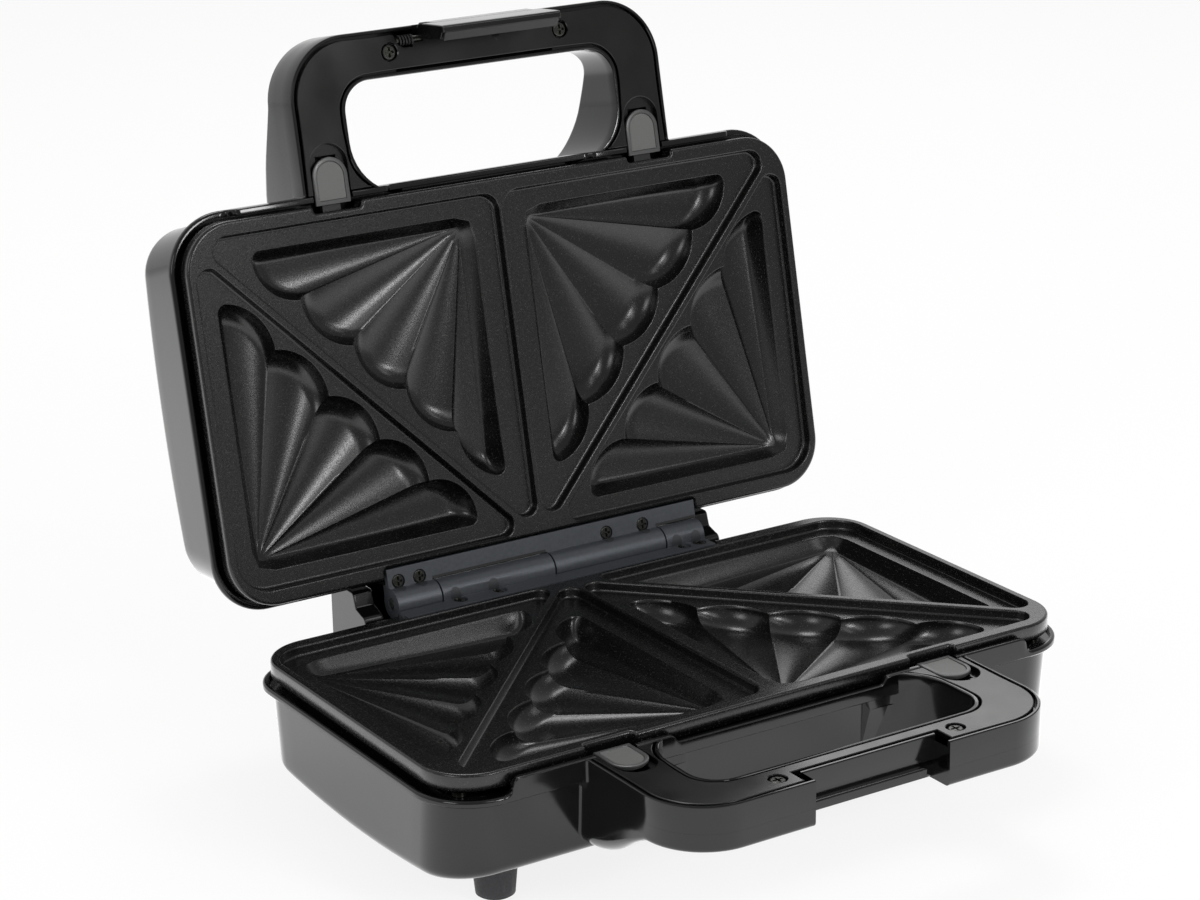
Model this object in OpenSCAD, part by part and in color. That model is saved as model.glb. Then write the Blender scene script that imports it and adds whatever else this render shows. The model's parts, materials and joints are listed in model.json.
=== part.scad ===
// Sandwich toaster for two sandwiches: a base and a lid with removable plates,
// loop handles, a knuckle hinge at the back and a swinging latch at the front.
// Each half is drawn in its own half frame: X across, Y towards the hinge, and
// Z = 0 in the plane of its plate's rim, with the housing below. The lid is the
// same half mirrored, closed on the base, and then opened about the hinge.

/* [Plates] */
// Width of a cooking plate
plate_w = 274; // [268:1:280]
// Depth of a cooking plate, front to back
plate_d = 147.4; // [144:0.2:150]
// Corner radius of a cooking plate
plate_r = 19.5; // [17:0.5:21]
// Height of the plate's skirt
skirt_h = 8.6; // [8:0.1:9]
// Depth of the flat land round each pocket, below the rim
land_drop = 3.6; // [3:0.1:4.5]
// Depth of the pockets at their deepest, below the rim
pocket_drop = 12.5; // [10:0.5:13]
// Thickness of the cast wall
cast_t = 2.4; // [2:0.1:3]
// Width of the diagonal ridge that cuts each sandwich in two
ridge_w = 3.8; // [3:0.1:5]
// Width of the rib between the two sandwiches
rib_w = 2.4; // [2:0.1:3]

/* [Housing] */
// Height of the lower plate's rim above the table
rim_z = 60; // [58:1:64]
// Gap between the two plates when shut
plate_gap = 1; // [0.8:0.1:1.4]
// Width of the housing over its lip
house_w = 281; // [280:0.5:290]
// Distance of the lip's front face from the plate's centre
lip_front = 77.3; // [77:0.1:78]
// Distance of the lip's back face from the plate's centre
lip_back = 76; // [75.5:0.1:76.5]
// Corner radius of the lip
lip_r = 20; // [19:0.5:22]
// Depth of the lip's top below the plate's rim
lip_top = 7.7; // [7:0.1:8]
// Height of the lip
lip_h = 4; // [3.5:0.1:4.5]
// Setback of the walls under the lip
wall_inset = 2.4; // [2:0.1:3]
// Draft of the walls
draft = 5; // [3:0.5:6]
// Depth of the base's housing below the plate's rim
base_depth = 44.5; // [42:0.5:46]
// Depth of the lid's housing behind the plate's rim
lid_depth = 47; // [45:0.5:49]
// Thickness of the moulded walls
wall = 2.5; // [2:0.1:3]

/* [Handles] */
// Width of a handle
handle_w = 167; // [164:1:170]
// Distance of a handle's front face from the plate's centre
handle_front = 136.8; // [134:0.2:138]
// Outer corner radius of a handle
handle_r = 25; // [22:1:27]
// Depth of a handle's top face below the plate's rim
handle_top = 3; // [2.8:0.1:3.4]
// Depth of a handle's front bar
bar_h = 17.5; // [16.5:0.5:19]
// Width of the finger opening
opening_w = 121.6; // [119:0.2:123]
// Distance of the finger opening's front edge from the plate's centre
opening_front = 118.2; // [116.5:0.2:119]

/* [Hinge and latch] */
// Distance of the hinge axis from the plate's centre
hinge_y = 83.5; // [83.2:0.1:84]
// Outer radius of the hinge's knuckles
knuckle_r = 6; // [5.6:0.1:6.2]
// Radius of the hinge pin
pin_r = 2.4; // [2:0.1:2.8]
// Width of the hinge
hinge_w = 144; // [142:1:146]
// Angle at which the lid rests open
open_angle = 101.5; // [90:0.5:101.5]
// Width of the latch
latch_w = 54; // [50:1:55]

/* [Hidden] */
$fn = 64;

left = -1;
right = 1;
sides = [left, right];
eps = 0.01;
fit = 0.3;

// Half frame: plate
px = plate_w / 2;
py = plate_d / 2;
land_x = px - 2.8;
land_front = py - 5.4;
land_back = py - 7.7;
pocket_side = 8.8;
pocket_front = 8;
pocket_back = 5.6;
pocket_rib = 10.4;
lobes = 5;
lobe_pitch = 28.6;
skirt_t = 2.6;

// Half frame: housing
hx = house_w / 2;
seam = lip_top + lip_h;
wx = hx - wall_inset;
wf = lip_front - wall_inset;
wb = lip_back - 1.5;
wr = lip_r - wall_inset;
base_bend = 4;
raised_top = 2.8;
raised_in = 84;
raised_out = 113;
bridge_top = 5.9;
bosses = [[-127, -63.5], [127, -63.5], [-15, 58.5], [15, 58.5]];
boss_r = 4;
tab = 7;
screw_r = 1.5;

// Half frame: handle
gx = handle_w / 2;
ox = opening_w / 2;
bar_back = 110;
bar_low = handle_top + bar_h;
cover_in = 1.8;
cover_t = 2.2;
cover_lip = 2;
cover_screw_x = 38.6;
cover_screw_y = 127.6;

// Half frame: release buttons
button_x = 71.2;
button_w = 15;
button_back = 73.3;
button_mid = 84;
button_top = 1.7;
button_t = 3;
stem_w = 8;
stem_back = 74;
stem_front = 87;
stem_low = 12;
bay_front = 98;
button_travel = 4;
dish_r = 8;
dish_y = -button_mid - button_travel - 0.6;
spring_r = 2.4;

// Hinge and latch
hinge_z = rim_z + plate_gap;
leaf_back = hinge_y - knuckle_r - 0.4;
leaf_front = leaf_back - 7.3;
leaf_t = 2.5;
knuckle_gap = 0.35;
base_knuckles = [[-52, 0], [53, hinge_w / 2]];
lid_knuckles = [[-hinge_w / 2, -52], [0, 53]];
base_screw_x = [-45.5, -27.5, 60, 67.4];
lid_screw_x = [-67.4, -57.9, 28.8, 46.3];
leaf_screw_y = 75.1;
hump_x = 83.5;
cheek_t = 8.5;
hump_back = 112;
hump_top = 65.4;
notch_x = 29;
notch_y = 127;
lip_x = 23.5;
lip_y = 130;
lip_hi = 12.4;
lip_lo = 17.8;
recess_x = 35.5;
recess_y = 128.3;
recess_low = 9.3;
pivot_y = 131.5;
pivot_w = 4;
latch_x = latch_w / 2;
latch_out = 137.4;
latch_tip_out = 135.3;
hook_w = 19.1;
tip_w = 21.4;

// Whole object
foot_h = rim_z - base_depth;
lid_shoulder = wf - base_bend - 1;
lid_back_y = hinge_y - (lid_shoulder + hinge_y) * cos(open_angle)
    + (lid_depth + plate_gap / 2) * sin(open_angle);
centre_y = (lid_back_y - handle_front) / 2;

// Places a half-frame piece in the base, or in the lid as it stands open.
module in_base() {
    translate([0, -centre_y, rim_z]) children();
}

module in_lid() {
    translate([0, hinge_y - centre_y, hinge_z])
        rotate([-open_angle, 0, 0])
            translate([0, -hinge_y, 0])
                mirror([0, 0, 1]) children();
}

// A rounded rectangle of half-width x, from y = -front to y = back.
module rounded(x, front, back, r) {
    translate([-x + r, -front]) square([2 * (x - r), front + back]);
    translate([-x, -front + r]) square([2 * x, front + back - 2 * r]);
    for (sx = sides, y = [-front + r, back - r])
        translate([sx * (x - r), y]) circle(r);
}

// The same rectangle as a plate from low to high.
module slab(x, front, back, r, low, high) {
    translate([0, 0, low]) linear_extrude(high - low) rounded(x, front, back, r);
}

module block(x0, x1, y0, y1, z0, z1) {
    translate([x0, y0, z0]) cube([x1 - x0, y1 - y0, z1 - z0]);
}

// A rod along X.
module rod_x(x0, x1, y, z, r) {
    translate([x0, y, z]) rotate([0, 90, 0]) cylinder(h = x1 - x0, r = r);
}

function arc(cx, cy, r, a0, a1, n) =
    [for (i = [0 : n]) let (a = a0 + (a1 - a0) * i / n) [cx + r * cos(a), cy + r * sin(a)]];

// ---- Cooking plate: four triangular pockets of five lobes each ----

// Ends of one sandwich's diagonal: outer front corner and inner back corner.
diag_a = [land_x + 1, -land_front];
diag_b = [rib_w / 2 + 4.8, land_back];
diag_v = (diag_b - diag_a) / norm(diag_b - diag_a);
diag_n = [diag_v[1], -diag_v[0]];
diag_mid = (diag_a + diag_b) / 2;

// Distance along the diagonal to the point where it crosses a given x or y.
function on_x(x, off) = let (p = diag_mid + diag_n * off) p + diag_v * ((x - p[0]) / diag_v[0]);
function on_y(y, off) = let (p = diag_mid + diag_n * off) p + diag_v * ((y - p[1]) / diag_v[1]);

// Arc that rounds corner p of an outline, between its neighbours before and after it.
function corner_arc(before, p, after, r) = let (
    e0 = (before - p) / norm(before - p),
    e1 = (after - p) / norm(after - p),
    half = acos(e0 * e1) / 2,
    c = p + (e0 + e1) / norm(e0 + e1) * r / sin(half),
    t0 = p + e0 * r / tan(half) - c,
    t1 = p + e1 * r / tan(half) - c,
    a0 = atan2(t0[1], t0[0]),
    turn = atan2(t0[0] * t1[1] - t0[1] * t1[0], t0 * t1)
) arc(c[0], c[1], r, a0, a0 + turn, 6);

// Triangle between two legs and a line parallel to the diagonal, off from it.
// side is 1 for the outer back triangle and -1 for the inner front one.
module triangle(side, leg_x, leg_y, off, tip_r, square_r) {
    a = on_y(leg_y, side * off);
    b = on_x(leg_x, side * off);
    c = [leg_x, leg_y];
    polygon(concat(
        corner_arc(c, a, b, tip_r), corner_arc(a, b, c, tip_r), corner_arc(b, c, a, square_r)
    ));
}

module land(side) {
    leg_x = side > 0 ? land_x : rib_w / 2;
    leg_y = side > 0 ? land_back : -land_front;
    translate([0, 0, -land_drop])
        linear_extrude(land_drop + 1) triangle(side, leg_x, leg_y, ridge_w / 2, 3, 6);
}

pocket_off = 8.4;
cusp_off = 11.4;
scallop = 3.6;
lobe_cols = 5;
pocket_rings = [[0.08, 0.2], [0.35, 0.5], [0.72, 0.95], [0.92, 0.75]];

function pocket_leg_x(side) = side > 0 ? land_x - pocket_side : rib_w / 2 + pocket_rib;
function pocket_leg_y(side) = side > 0 ? land_back - pocket_back : -land_front + pocket_front;

// A pocket is a fan of lobes. Each column is a ray from the square corner to the
// scalloped edge; its depth follows the lobe across and the rings along it.
function edge_point(side, q) = let (
    a = on_y(pocket_leg_y(side), side * cusp_off),
    b = on_x(pocket_leg_x(side), side * cusp_off)
) a + (b - a) * q - diag_n * side * scallop * sin(180 * (q * lobes % 1));

function lobe_depth(q) = 0.35 + 0.65 * pow(sin(180 * (q * lobes % 1)), 0.6);

module pocket(side) {
    corner = [pocket_leg_x(side), pocket_leg_y(side)];
    cols = lobes * lobe_cols;
    high = 1 - land_drop;
    deep = pocket_drop - land_drop;
    rings = len(pocket_rings);
    grid = [for (i = [0 : cols], r = concat(pocket_rings, [[1, 0]])) let (
        q = i / cols,
        p = corner + (edge_point(side, q) - corner) * r[0],
        edge = i == 0 || i == cols || r[0] == 1
    ) [p[0], p[1], edge ? high : -land_drop - deep * r[1] * lobe_depth(q)]];
    n = rings + 1;
    roof = [for (i = [1 : cols - 1], j = [0 : rings - 1]) [grid[i * n + j][0], grid[i * n + j][1], high]];
    floor_at = function (i, j) 1 + i * n + j;
    roof_at = function (i, j) i == 0 || i == cols || j == rings
        ? floor_at(i, j) : 1 + (cols + 1) * n + (i - 1) * rings + j;
    polyhedron(
        concat([[corner[0], corner[1], high]], grid, roof),
        concat(
            [for (i = [0 : cols - 1]) [0, floor_at(i, 0), floor_at(i + 1, 0)]],
            [for (i = [0 : cols - 1]) [0, roof_at(i + 1, 0), roof_at(i, 0)]],
            [for (i = [0 : cols - 1], j = [0 : rings - 1])
                [floor_at(i, j), floor_at(i, j + 1), floor_at(i + 1, j + 1)]],
            [for (i = [0 : cols - 1], j = [0 : rings - 1])
                [floor_at(i, j), floor_at(i + 1, j + 1), floor_at(i + 1, j)]],
            [for (i = [0 : cols - 1], j = [0 : rings - 1])
                [roof_at(i, j), roof_at(i + 1, j + 1), roof_at(i, j + 1)]],
            [for (i = [0 : cols - 1], j = [0 : rings - 1])
                [roof_at(i, j), roof_at(i + 1, j), roof_at(i + 1, j + 1)]]
        )
    );
}

module pocket_case(side) {
    translate([0, 0, -pocket_drop - cast_t])
        linear_extrude(pocket_drop)
            triangle(side, pocket_leg_x(side) + side * cast_t,
                pocket_leg_y(side) + side * cast_t, pocket_off - cast_t, 6, 8);
}

module plate() {
    color("#1d1d1e") difference() {
        union() {
            difference() {
                slab(px, py, py, plate_r, -skirt_h, 0);
                slab(px - skirt_t, py - skirt_t, py - skirt_t, plate_r - skirt_t,
                    -skirt_h - 1, -land_drop - cast_t);
            }
            for (s = sides, t = sides) on_side(s) pocket_case(t);
        }
        for (s = sides, t = sides) on_side(s) {
            land(t);
            pocket(t);
        }
        block(-hinge_w / 2 - 0.6, hinge_w / 2 + 0.6, leaf_front - 0.5, py + 1, -skirt_h - 1, 1);
        for (s = sides) {
            block(s * button_x - 10.3, s * button_x + 10.3, -py - 1, -py + 2.8,
                -skirt_h - 1, 1);
            block(s * button_x - 4.6, s * button_x + 4.6, -py, -py + 4.4, -8.1, -4.9);
        }
    }
}

// ---- Housing: shell with its handle, and the frame that carries the plate ----

// Outer walls, drafted and rounded into the floor, set in by t all round.
module hull_body(depth, t) {
    run = depth - base_bend - seam;
    hull() {
        slab(wx - t, wf - t, wb - t, wr - t, -seam - eps, -seam);
        for (a = [0 : 30 : 90]) {
            inset = t + run * tan(draft) + base_bend * (1 - cos(a));
            low = depth - base_bend + base_bend * sin(a) - t;
            slab(wx - inset, wf - inset, wb - inset, wr - inset / 2, -low - eps, -low);
        }
    }
}

// Side view of a handle: front bar and arms that deepen towards the housing.
module handle_side(top, t) {
    arch_r = 112;
    arch_y = 72;
    arch_z = 128.5;
    rotate([90, 0, 90]) translate([0, 0, -gx - 1]) linear_extrude(handle_w + 2)
        polygon(concat(
            [[-70, -top], [-handle_front, -top]],
            arc(-handle_front + 5, -bar_low + 5 + t, 5, 180, 270, 6),
            arc(-arch_y - 76, -arch_z + t, arch_r, 70, 51, 8),
            [[-70, -48 + t]]
        ));
}

module handle_plan(inset) {
    difference() {
        rounded(gx - inset, handle_front - inset, -70, handle_r - inset);
        finger_hole(inset);
    }
}

module finger_hole(grow) {
    front = opening_front + grow;
    x = ox + grow;
    r0 = 11.5 + grow;
    r1 = 22 + grow;
    back = 71 - grow;
    polygon(concat(
        arc(-x + r0, -front + r0, r0, 180, 270, 8),
        arc(x - r0, -front + r0, r0, 270, 360, 8),
        arc(x - r1, -back - r1, r1, 0, 90, 10),
        arc(-x + r1, -back - r1, r1, 90, 180, 10)
    ));
}

module handle(cavity_x) {
    difference() {
        intersection() {
            handle_side(handle_top, 0);
            translate([0, 0, -60]) linear_extrude(60) handle_plan(0);
        }
        translate([0, 0, -handle_top - cover_t - 0.4]) linear_extrude(cover_t + 1) cover_plan(0.3);
        intersection() {
            translate([0, 0, -bar_low + wall]) linear_extrude(bar_h) handle_plan(wall + 0.4);
            for (s = sides) translate([s * (cavity_x + 50), -105, -20]) cube([100, 80, 60], center = true);
        }
    }
}

module boss(low) {
    for (p = bosses) translate([p[0], p[1], -low]) cylinder(h = low - seam - fit, r = boss_r);
}

module shell(depth, cavity_x) {
    difference() {
        union() {
            hull_body(depth, 0);
            intersection() {
                handle(cavity_x);
                block(-200, 200, -200, -wf + 4, -60, 0);
            }
        }
        difference() {
            hull_body(depth, wall);
            boss(depth - 1);
        }
        slab(wx - wall, wf - wall, wb - wall, wr - wall, -seam - 1, 1);
        block(-gx - 10, gx + 10, -lip_front - fit, 0, -seam, 1);
        for (s = sides) {
            block(s * button_x - 6.8, s * button_x + 6.8, -bay_front - 1.8, -70, -15.3, 1);
            translate([s * button_x, 0, -6.6]) dish(dish_r + 0.7, 8);
        }
        for (p = bosses) translate([p[0], p[1], -seam - 14]) cylinder(h = 20, r = screw_r - 0.3);
    }
}

// The cheeks and the box that carry the hinge behind the base.
module hump() {
    side_view = concat(
        [[70, -base_depth], [hump_back - 8, -base_depth]],
        arc(hump_back - 8, -base_depth + 8, 8, -90, 0, 6),
        arc(hump_back - 5, hump_top - rim_z - 5, 5, 0, 90, 6),
        arc(94.5, hump_top - rim_z - 2, 2, 90, 160, 4),
        [[91, -0.5]],
        arc(86.5, -5, 3, 90, 180, 4),
        [[83.5, -14], [70, -14]]
    );
    difference() {
        rotate([90, 0, 90]) translate([0, 0, -hump_x]) linear_extrude(2 * hump_x) polygon(side_view);
        block(-hump_x + cheek_t, hump_x - cheek_t, 69, hump_back - 4, -11, 10);
        block(-hump_x + cheek_t, hump_x - cheek_t, 69, hump_back + 1, 1.5, 10);
        block(-hump_x + wall, hump_x - wall, 69, hump_back - wall, -base_depth + wall, -13.5);
    }
}

module base_shell() {
    color("#232326") in_base() difference() {
        union() {
            shell(base_depth, 30);
            difference() {
                hump();
                hull_body(base_depth, wall);
            }
        }
        block(-notch_x, notch_x, -140, -notch_y, -lip_hi, 0);
        block(-notch_x, notch_x, -140, -lip_y, -30, 0);
        block(-notch_x, notch_x, -140, -notch_y + 0.5, -30, -lip_lo);
        for (s = sides) block(s > 0 ? lip_x : -notch_x, s > 0 ? notch_x : -lip_x,
            -140, -notch_y, -30, 0);
        block(-hump_x + cheek_t, hump_x - cheek_t, 60, 78, -seam, 5);
        translate([-50, hump_back - 6, -base_depth + 18]) rotate([-90, 0, 0]) cylinder(h = 8, r = 5);
        for (i = [-4 : 4]) slab_slot(i * 14);
        for (s = sides) {
            translate([s * foot_x, foot_front, -base_depth - 1]) cylinder(h = 8, r = 2);
            translate([s * rear_foot_x, foot_back, -base_depth - 1]) cylinder(h = 8, r = 2);
        }
        cover_holes();
    }
}

module slab_slot(x) {
    block(x - 1.5, x + 1.5, -22, 22, -base_depth - 1, -base_depth + wall + 1);
}

// Screw holes under a handle cover.
module cover_holes() {
    for (s = sides) translate([s * cover_screw_x, -cover_screw_y, -bar_low + 5])
        cylinder(h = 14, r = screw_r - 0.2);
}

module lid_shell() {
    color("#232326") in_lid() difference() {
        shell(lid_depth, 38);
        block(-recess_x, recess_x, -134.6, -recess_y, -recess_low, 0);
        block(-latch_x - 0.6, latch_x + 0.6, -140, -recess_y, -recess_low, 0);
        rod_x(-recess_x - 3, recess_x + 3, -pivot_y, -pivot_w - 1.2, 1.25);
        cover_holes();
        for (s = sides) translate([s * lens_x, -lens_y, -lid_depth - 1]) cylinder(h = 6, r = lens_r);
    }
}

// Frame: the lip all round, the ledge under the plate, the raised front edge
// and the bays in which the buttons slide.
module frame() {
    difference() {
        union() {
            slab(hx, lip_front, lip_back, lip_r, -seam, -lip_top);
            raised_edge();
            for (s = sides) translate([s * button_x, 0, 0]) bay();
        }
        slab(px + 1.2, py + 1.2, py + 0.9, plate_r + 1, -skirt_h - 0.1, 1);
        difference() {
            slab(px - 5, py - 5, py - 5, 9, -seam - 4, 1);
            for (p = bosses)
                block(p[0] - tab, p[0] + tab, p[1] > 0 ? p[1] - tab : -py, p[1] > 0 ? py : p[1] + tab,
                    -seam, -skirt_h - 1.4);
        }
        for (s = sides) {
            block(s * button_x - 8.4, s * button_x + 8.4, -lip_front - 1, -70, -5.1, 1);
            block(s * button_x - 4.5, s * button_x + 4.5, -92, -68, -12.4, 1);
        }
        for (p = bosses) translate([p[0], p[1], -seam - 1]) cylinder(h = 4, r = screw_r + 0.3);
    }
}

module raised_edge() {
    block(-ox, ox, -lip_front, -py - 1.2, -seam, -bridge_top);
    for (s = sides) on_side(s) {
        block(54, raised_in, -lip_front, -py - 1.2, -seam, -handle_top);
        block(raised_in, raised_out, -lip_front, -py - 1.2, -seam, -raised_top);
        translate([raised_out, -py - 1.2, -raised_top - 4]) rotate([90, 0, 0])
            cylinder(h = lip_front - py - 1.2, r = 4);
    }
}

// Draws its children on the right, or mirrored on the left.
module on_side(s) {
    mirror([s > 0 ? 0 : 1, 0, 0]) children();
}

module bay() {
    difference() {
        block(-6.3, 6.3, -bay_front - 1.4, -lip_front + 1, -14.8, -7.2);
        block(-4.5, 4.5, -bay_front, -70, -13.3, 0);
    }
}

module hinge_pad() {
    block(-hinge_w / 2, hinge_w / 2, leaf_front, leaf_back - 1.1, -seam, -leaf_t);
}

module pad_holes(xs) {
    for (x = xs) translate([x, leaf_screw_y, -9]) cylinder(h = 12, r = 1.1);
}

module base_frame() {
    color("#19191b") in_base() difference() {
        union() { frame(); hinge_pad(); }
        pad_holes(base_screw_x);
    }
}

module lid_frame() {
    color("#19191b") in_lid() difference() {
        union() { frame(); hinge_pad(); }
        pad_holes(lid_screw_x);
    }
}

// ---- Handle covers ----

module cover_plan(grow) {
    difference() {
        rounded(gx - cover_in + grow, handle_front - 1.5 + grow, -lip_front + grow,
            handle_r - cover_in + grow);
        finger_hole(cover_lip - grow);
    }
}

module cover() {
    difference() {
        union() {
            translate([0, 0, -handle_top - cover_t]) linear_extrude(cover_t) cover_plan(0);
            for (s = sides) translate([s * button_x, 0, -6.3]) dish(dish_r + 0.4, 2.4);
        }
        block(-100, 100, -lip_front - 0.1, 0, -20, 1);
        for (s = sides) {
            translate([s * button_x, 0, -5.1]) dish(dish_r, 6);
            block(s * button_x - 4.4, s * button_x + 4.4, -92, -70, -20, 1);
            translate([s * cover_screw_x, -cover_screw_y, -20]) cylinder(h = 20, r = 1.8);
            translate([s * cover_screw_x, -cover_screw_y, -handle_top - 1.3]) cylinder(h = 3, r = 3.2);
        }
    }
}

// Half capsule round a button, of half-width x.
module dish(x, h) {
    translate([0, dish_y, 0]) cylinder(h = h, r = x);
    block(-x, x, dish_y, -lip_front, 0, h);
}

module base_handle_cover() {
    color("#101012") in_base() difference() {
        cover();
        block(-notch_x, notch_x, -140, -notch_y, -10, 0);
    }
}

module lid_handle_cover() {
    color("#101012") in_lid() difference() {
        cover();
        block(-recess_x, recess_x, -140, -recess_y, -10, 0);
    }
}

// ---- Screws ----

// Cross-head screw with its head's top at z = 0, pointing down.
module screw(head_r, head_h, length) {
    difference() {
        union() {
            translate([0, 0, -head_h]) cylinder(h = head_h, r = head_r);
            translate([0, 0, -length]) cylinder(h = length, r = 1.1);
        }
        for (a = [0, 90]) rotate([0, 0, a])
            cube([head_r * 1.2, 0.7, 1.2], center = true);
    }
}

module cover_screws() {
    color("#141414") for (s = sides)
        translate([s * cover_screw_x, -cover_screw_y, -handle_top - 0.1]) screw(3, 1.1, 9);
}

module body_screws() {
    color("#8c8c8c") for (p = bosses)
        translate([p[0], p[1], -skirt_h + 0.1]) screw(2.7, 1.5, 14);
}

module leaf_screws(xs) {
    color("#26282b") for (x = xs) translate([x, leaf_screw_y, 0]) screw(2.6, 1, 8);
}

module base_cover_screws() { in_base() cover_screws(); }
module lid_cover_screws() { in_lid() cover_screws(); }
module base_body_screws() { in_base() body_screws(); }
module lid_body_screws() { in_lid() body_screws(); }
module base_hinge_screws() { in_base() leaf_screws(base_screw_x); }
module lid_hinge_screws() { in_lid() leaf_screws(lid_screw_x); }

// ---- Release buttons and their springs ----

module button(s) {
    color("#6c6c6a") translate([s * button_x, 0, 0]) difference() {
        union() {
            translate([0, -button_mid, -button_top - button_t]) cylinder(h = button_t, r = button_w / 2);
            block(-button_w / 2, button_w / 2, -button_mid, -button_back,
                -button_top - button_t, -button_top);
            block(-stem_w / 2, stem_w / 2, -stem_front, -stem_back, -stem_low, -button_top - 1);
            block(-4, 4, -stem_back - 1, -py + 4, -7.5, -5.4);
        }
        difference() {
            union() {
                translate([0, -button_mid, -button_top - 0.5]) cylinder(h = 1, r = button_w / 2 - 1);
                block(-button_w / 2 + 1, button_w / 2 - 1, -button_mid, -button_back - 1,
                    -button_top - 0.5, 0);
            }
            translate([0, -button_mid, -5]) cylinder(h = 6, r = button_w / 2 - 1.8);
            block(-button_w / 2 + 1.8, button_w / 2 - 1.8, -button_mid, -button_back - 1.8, -5, 0);
        }
    }
}

// Coil spring along Y from y0 to y1, as a tube swept along a helix.
function ring_at(p, t, r, sides_n) = let (
    n = [-p[0], 0, -p[2]] / norm([p[0], 0, p[2]]),
    b = cross(t, n)
) [for (j = [0 : sides_n - 1]) p + r * (cos(360 * j / sides_n) * n + sin(360 * j / sides_n) * b)];

module coil(radius, wire, y0, y1, turns) {
    steps = 12 * turns;
    around = 6;
    rise = (y1 - y0) / (360 * turns);
    rings = [for (i = [0 : steps]) let (
        a = 360 * turns * i / steps,
        p = [radius * cos(a), y0 + (y1 - y0) * i / steps, radius * sin(a)],
        t = [-radius * sin(a) * PI / 180, rise, radius * cos(a) * PI / 180]
    ) ring_at(p, t / norm(t), wire, around)];
    points = [for (r = rings) for (p = r) p];
    walls = [for (i = [0 : steps - 1], j = [0 : around - 1]) let (k = (j + 1) % around)
        [i * around + j, i * around + k, (i + 1) * around + k, (i + 1) * around + j]];
    ends = [[for (j = [0 : around - 1]) around - 1 - j], [for (j = [0 : around - 1]) steps * around + j]];
    polyhedron(points, concat(walls, ends));
}

module button_spring(s) {
    color("#b8b8b8") translate([s * button_x, 0, -9.6])
        coil(spring_r, 0.35, -bay_front + 0.5, -stem_front - 0.5, 6);
}

module base_button_left() { in_base() button(left); }
module base_button_right() { in_base() button(right); }
module lid_button_left() { in_lid() button(left); }
module lid_button_right() { in_lid() button(right); }
module base_spring_left() { in_base() button_spring(left); }
module base_spring_right() { in_base() button_spring(right); }
module lid_spring_left() { in_lid() button_spring(left); }
module lid_spring_right() { in_lid() button_spring(right); }

// ---- Hinge ----

module leaf(knuckles, others, xs, axis_w) {
    color("#4b4e53") difference() {
        union() {
            block(-hinge_w / 2, hinge_w / 2, leaf_front, leaf_back, -leaf_t, 0);
            for (k = knuckles) {
                rod_x(k[0] + knuckle_gap, k[1] - knuckle_gap, hinge_y, axis_w, knuckle_r);
                block(k[0] + knuckle_gap, k[1] - knuckle_gap, leaf_back - 1, hinge_y,
                    axis_w - knuckle_r + 0.8, 0);
            }
        }
        rod_x(-hinge_w, hinge_w, hinge_y, axis_w, pin_r + 0.05);
        for (x = xs) {
            translate([x, leaf_screw_y, -12]) cylinder(h = 20, r = 1.5);
            translate([x, leaf_screw_y, -1.1]) cylinder(h = 20, r = 2.9);
        }
        for (k = others)
            rod_x(k[0] - eps, k[1] + eps, hinge_y, axis_w, knuckle_r + 0.45);
    }
}

module base_hinge_leaf() { in_base() leaf(base_knuckles, lid_knuckles, base_screw_x, plate_gap); }
module lid_hinge_leaf() { in_lid() leaf(lid_knuckles, base_knuckles, lid_screw_x, 0); }

module hinge_pin() {
    color("#7c7f84") in_base()
        rod_x(-hinge_w / 2 + 0.5, hinge_w / 2 - 0.5, hinge_y, plate_gap, pin_r);
}

// ---- Latch ----

// Side view of the latch, from its barrel down to the hook.
module latch() {
    profile = concat(
        [[-pivot_y + 2.6, -pivot_w], [-pivot_y + 2.6, -pivot_w + 2.4], [-lip_y - 0.4, 1],
         [-lip_y - 0.4, hook_w], [-notch_y - 0.5, hook_w], [-notch_y - 0.5, hook_w + 1]],
        [[-lip_y - 1, tip_w], [-latch_tip_out + 0.6, tip_w], [-latch_tip_out, tip_w - 0.8]],
        [[-latch_out, 2], [-latch_out, -pivot_w + 0.5], [-pivot_y - 3.6, -pivot_w - 2.6],
         [-pivot_y, -pivot_w - 2.6]]
    );
    color("#17171a") in_lid() difference() {
        intersection() {
            union() {
                rotate([90, 0, 90]) translate([0, 0, -latch_x]) linear_extrude(latch_w) polygon(profile);
                rod_x(-latch_x, latch_x, -pivot_y, -pivot_w, 2.6);
            }
            union() {
                block(-latch_x, latch_x, -140, -lip_y - 0.4, -10, tip_w + 1);
                block(-latch_x, latch_x, -140, -120, -10, 8);
                block(-lip_x + 0.5, lip_x - 0.5, -140, -120, 8, tip_w + 1);
            }
        }
        rod_x(-latch_w, latch_w, -pivot_y, -pivot_w, 1.25);
    }
}

module latch_pin() {
    color("#8d9094") in_lid() rod_x(-recess_x + 0.4, recess_x - 0.4, -pivot_y, -pivot_w, 1.2);
}

module latch_spring() {
    color("#b8b8b8") in_lid() translate([-latch_x - 4.4, -pivot_y, -pivot_w])
        rotate([0, 0, 90]) coil(1.9, 0.35, -3.2, 3.2, 5);
}

// ---- Heating parts ----

module reflector() {
    flange_x = px - 3.2;
    flange_y = py - 3.4;
    color("#9a9c9e") difference() {
        union() {
            slab(flange_x, flange_y, flange_y, 14, -seam - 0.8, -seam - 0.1);
            slab(flange_x - 3.5, flange_y - 3.5, flange_y - 3.5, 12, -24.2, -seam - 0.4);
        }
        slab(flange_x - 4.3, flange_y - 4.3, flange_y - 4.3, 11.2, -23.4, 0);
        for (p = bosses) translate([p[0], p[1], -26]) cylinder(h = 20, r = boss_r + 0.8);
        for (s = sides) translate([s * cold_x, 40, -26]) cylinder(h = 6, r = 4.2);
    }
}

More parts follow.
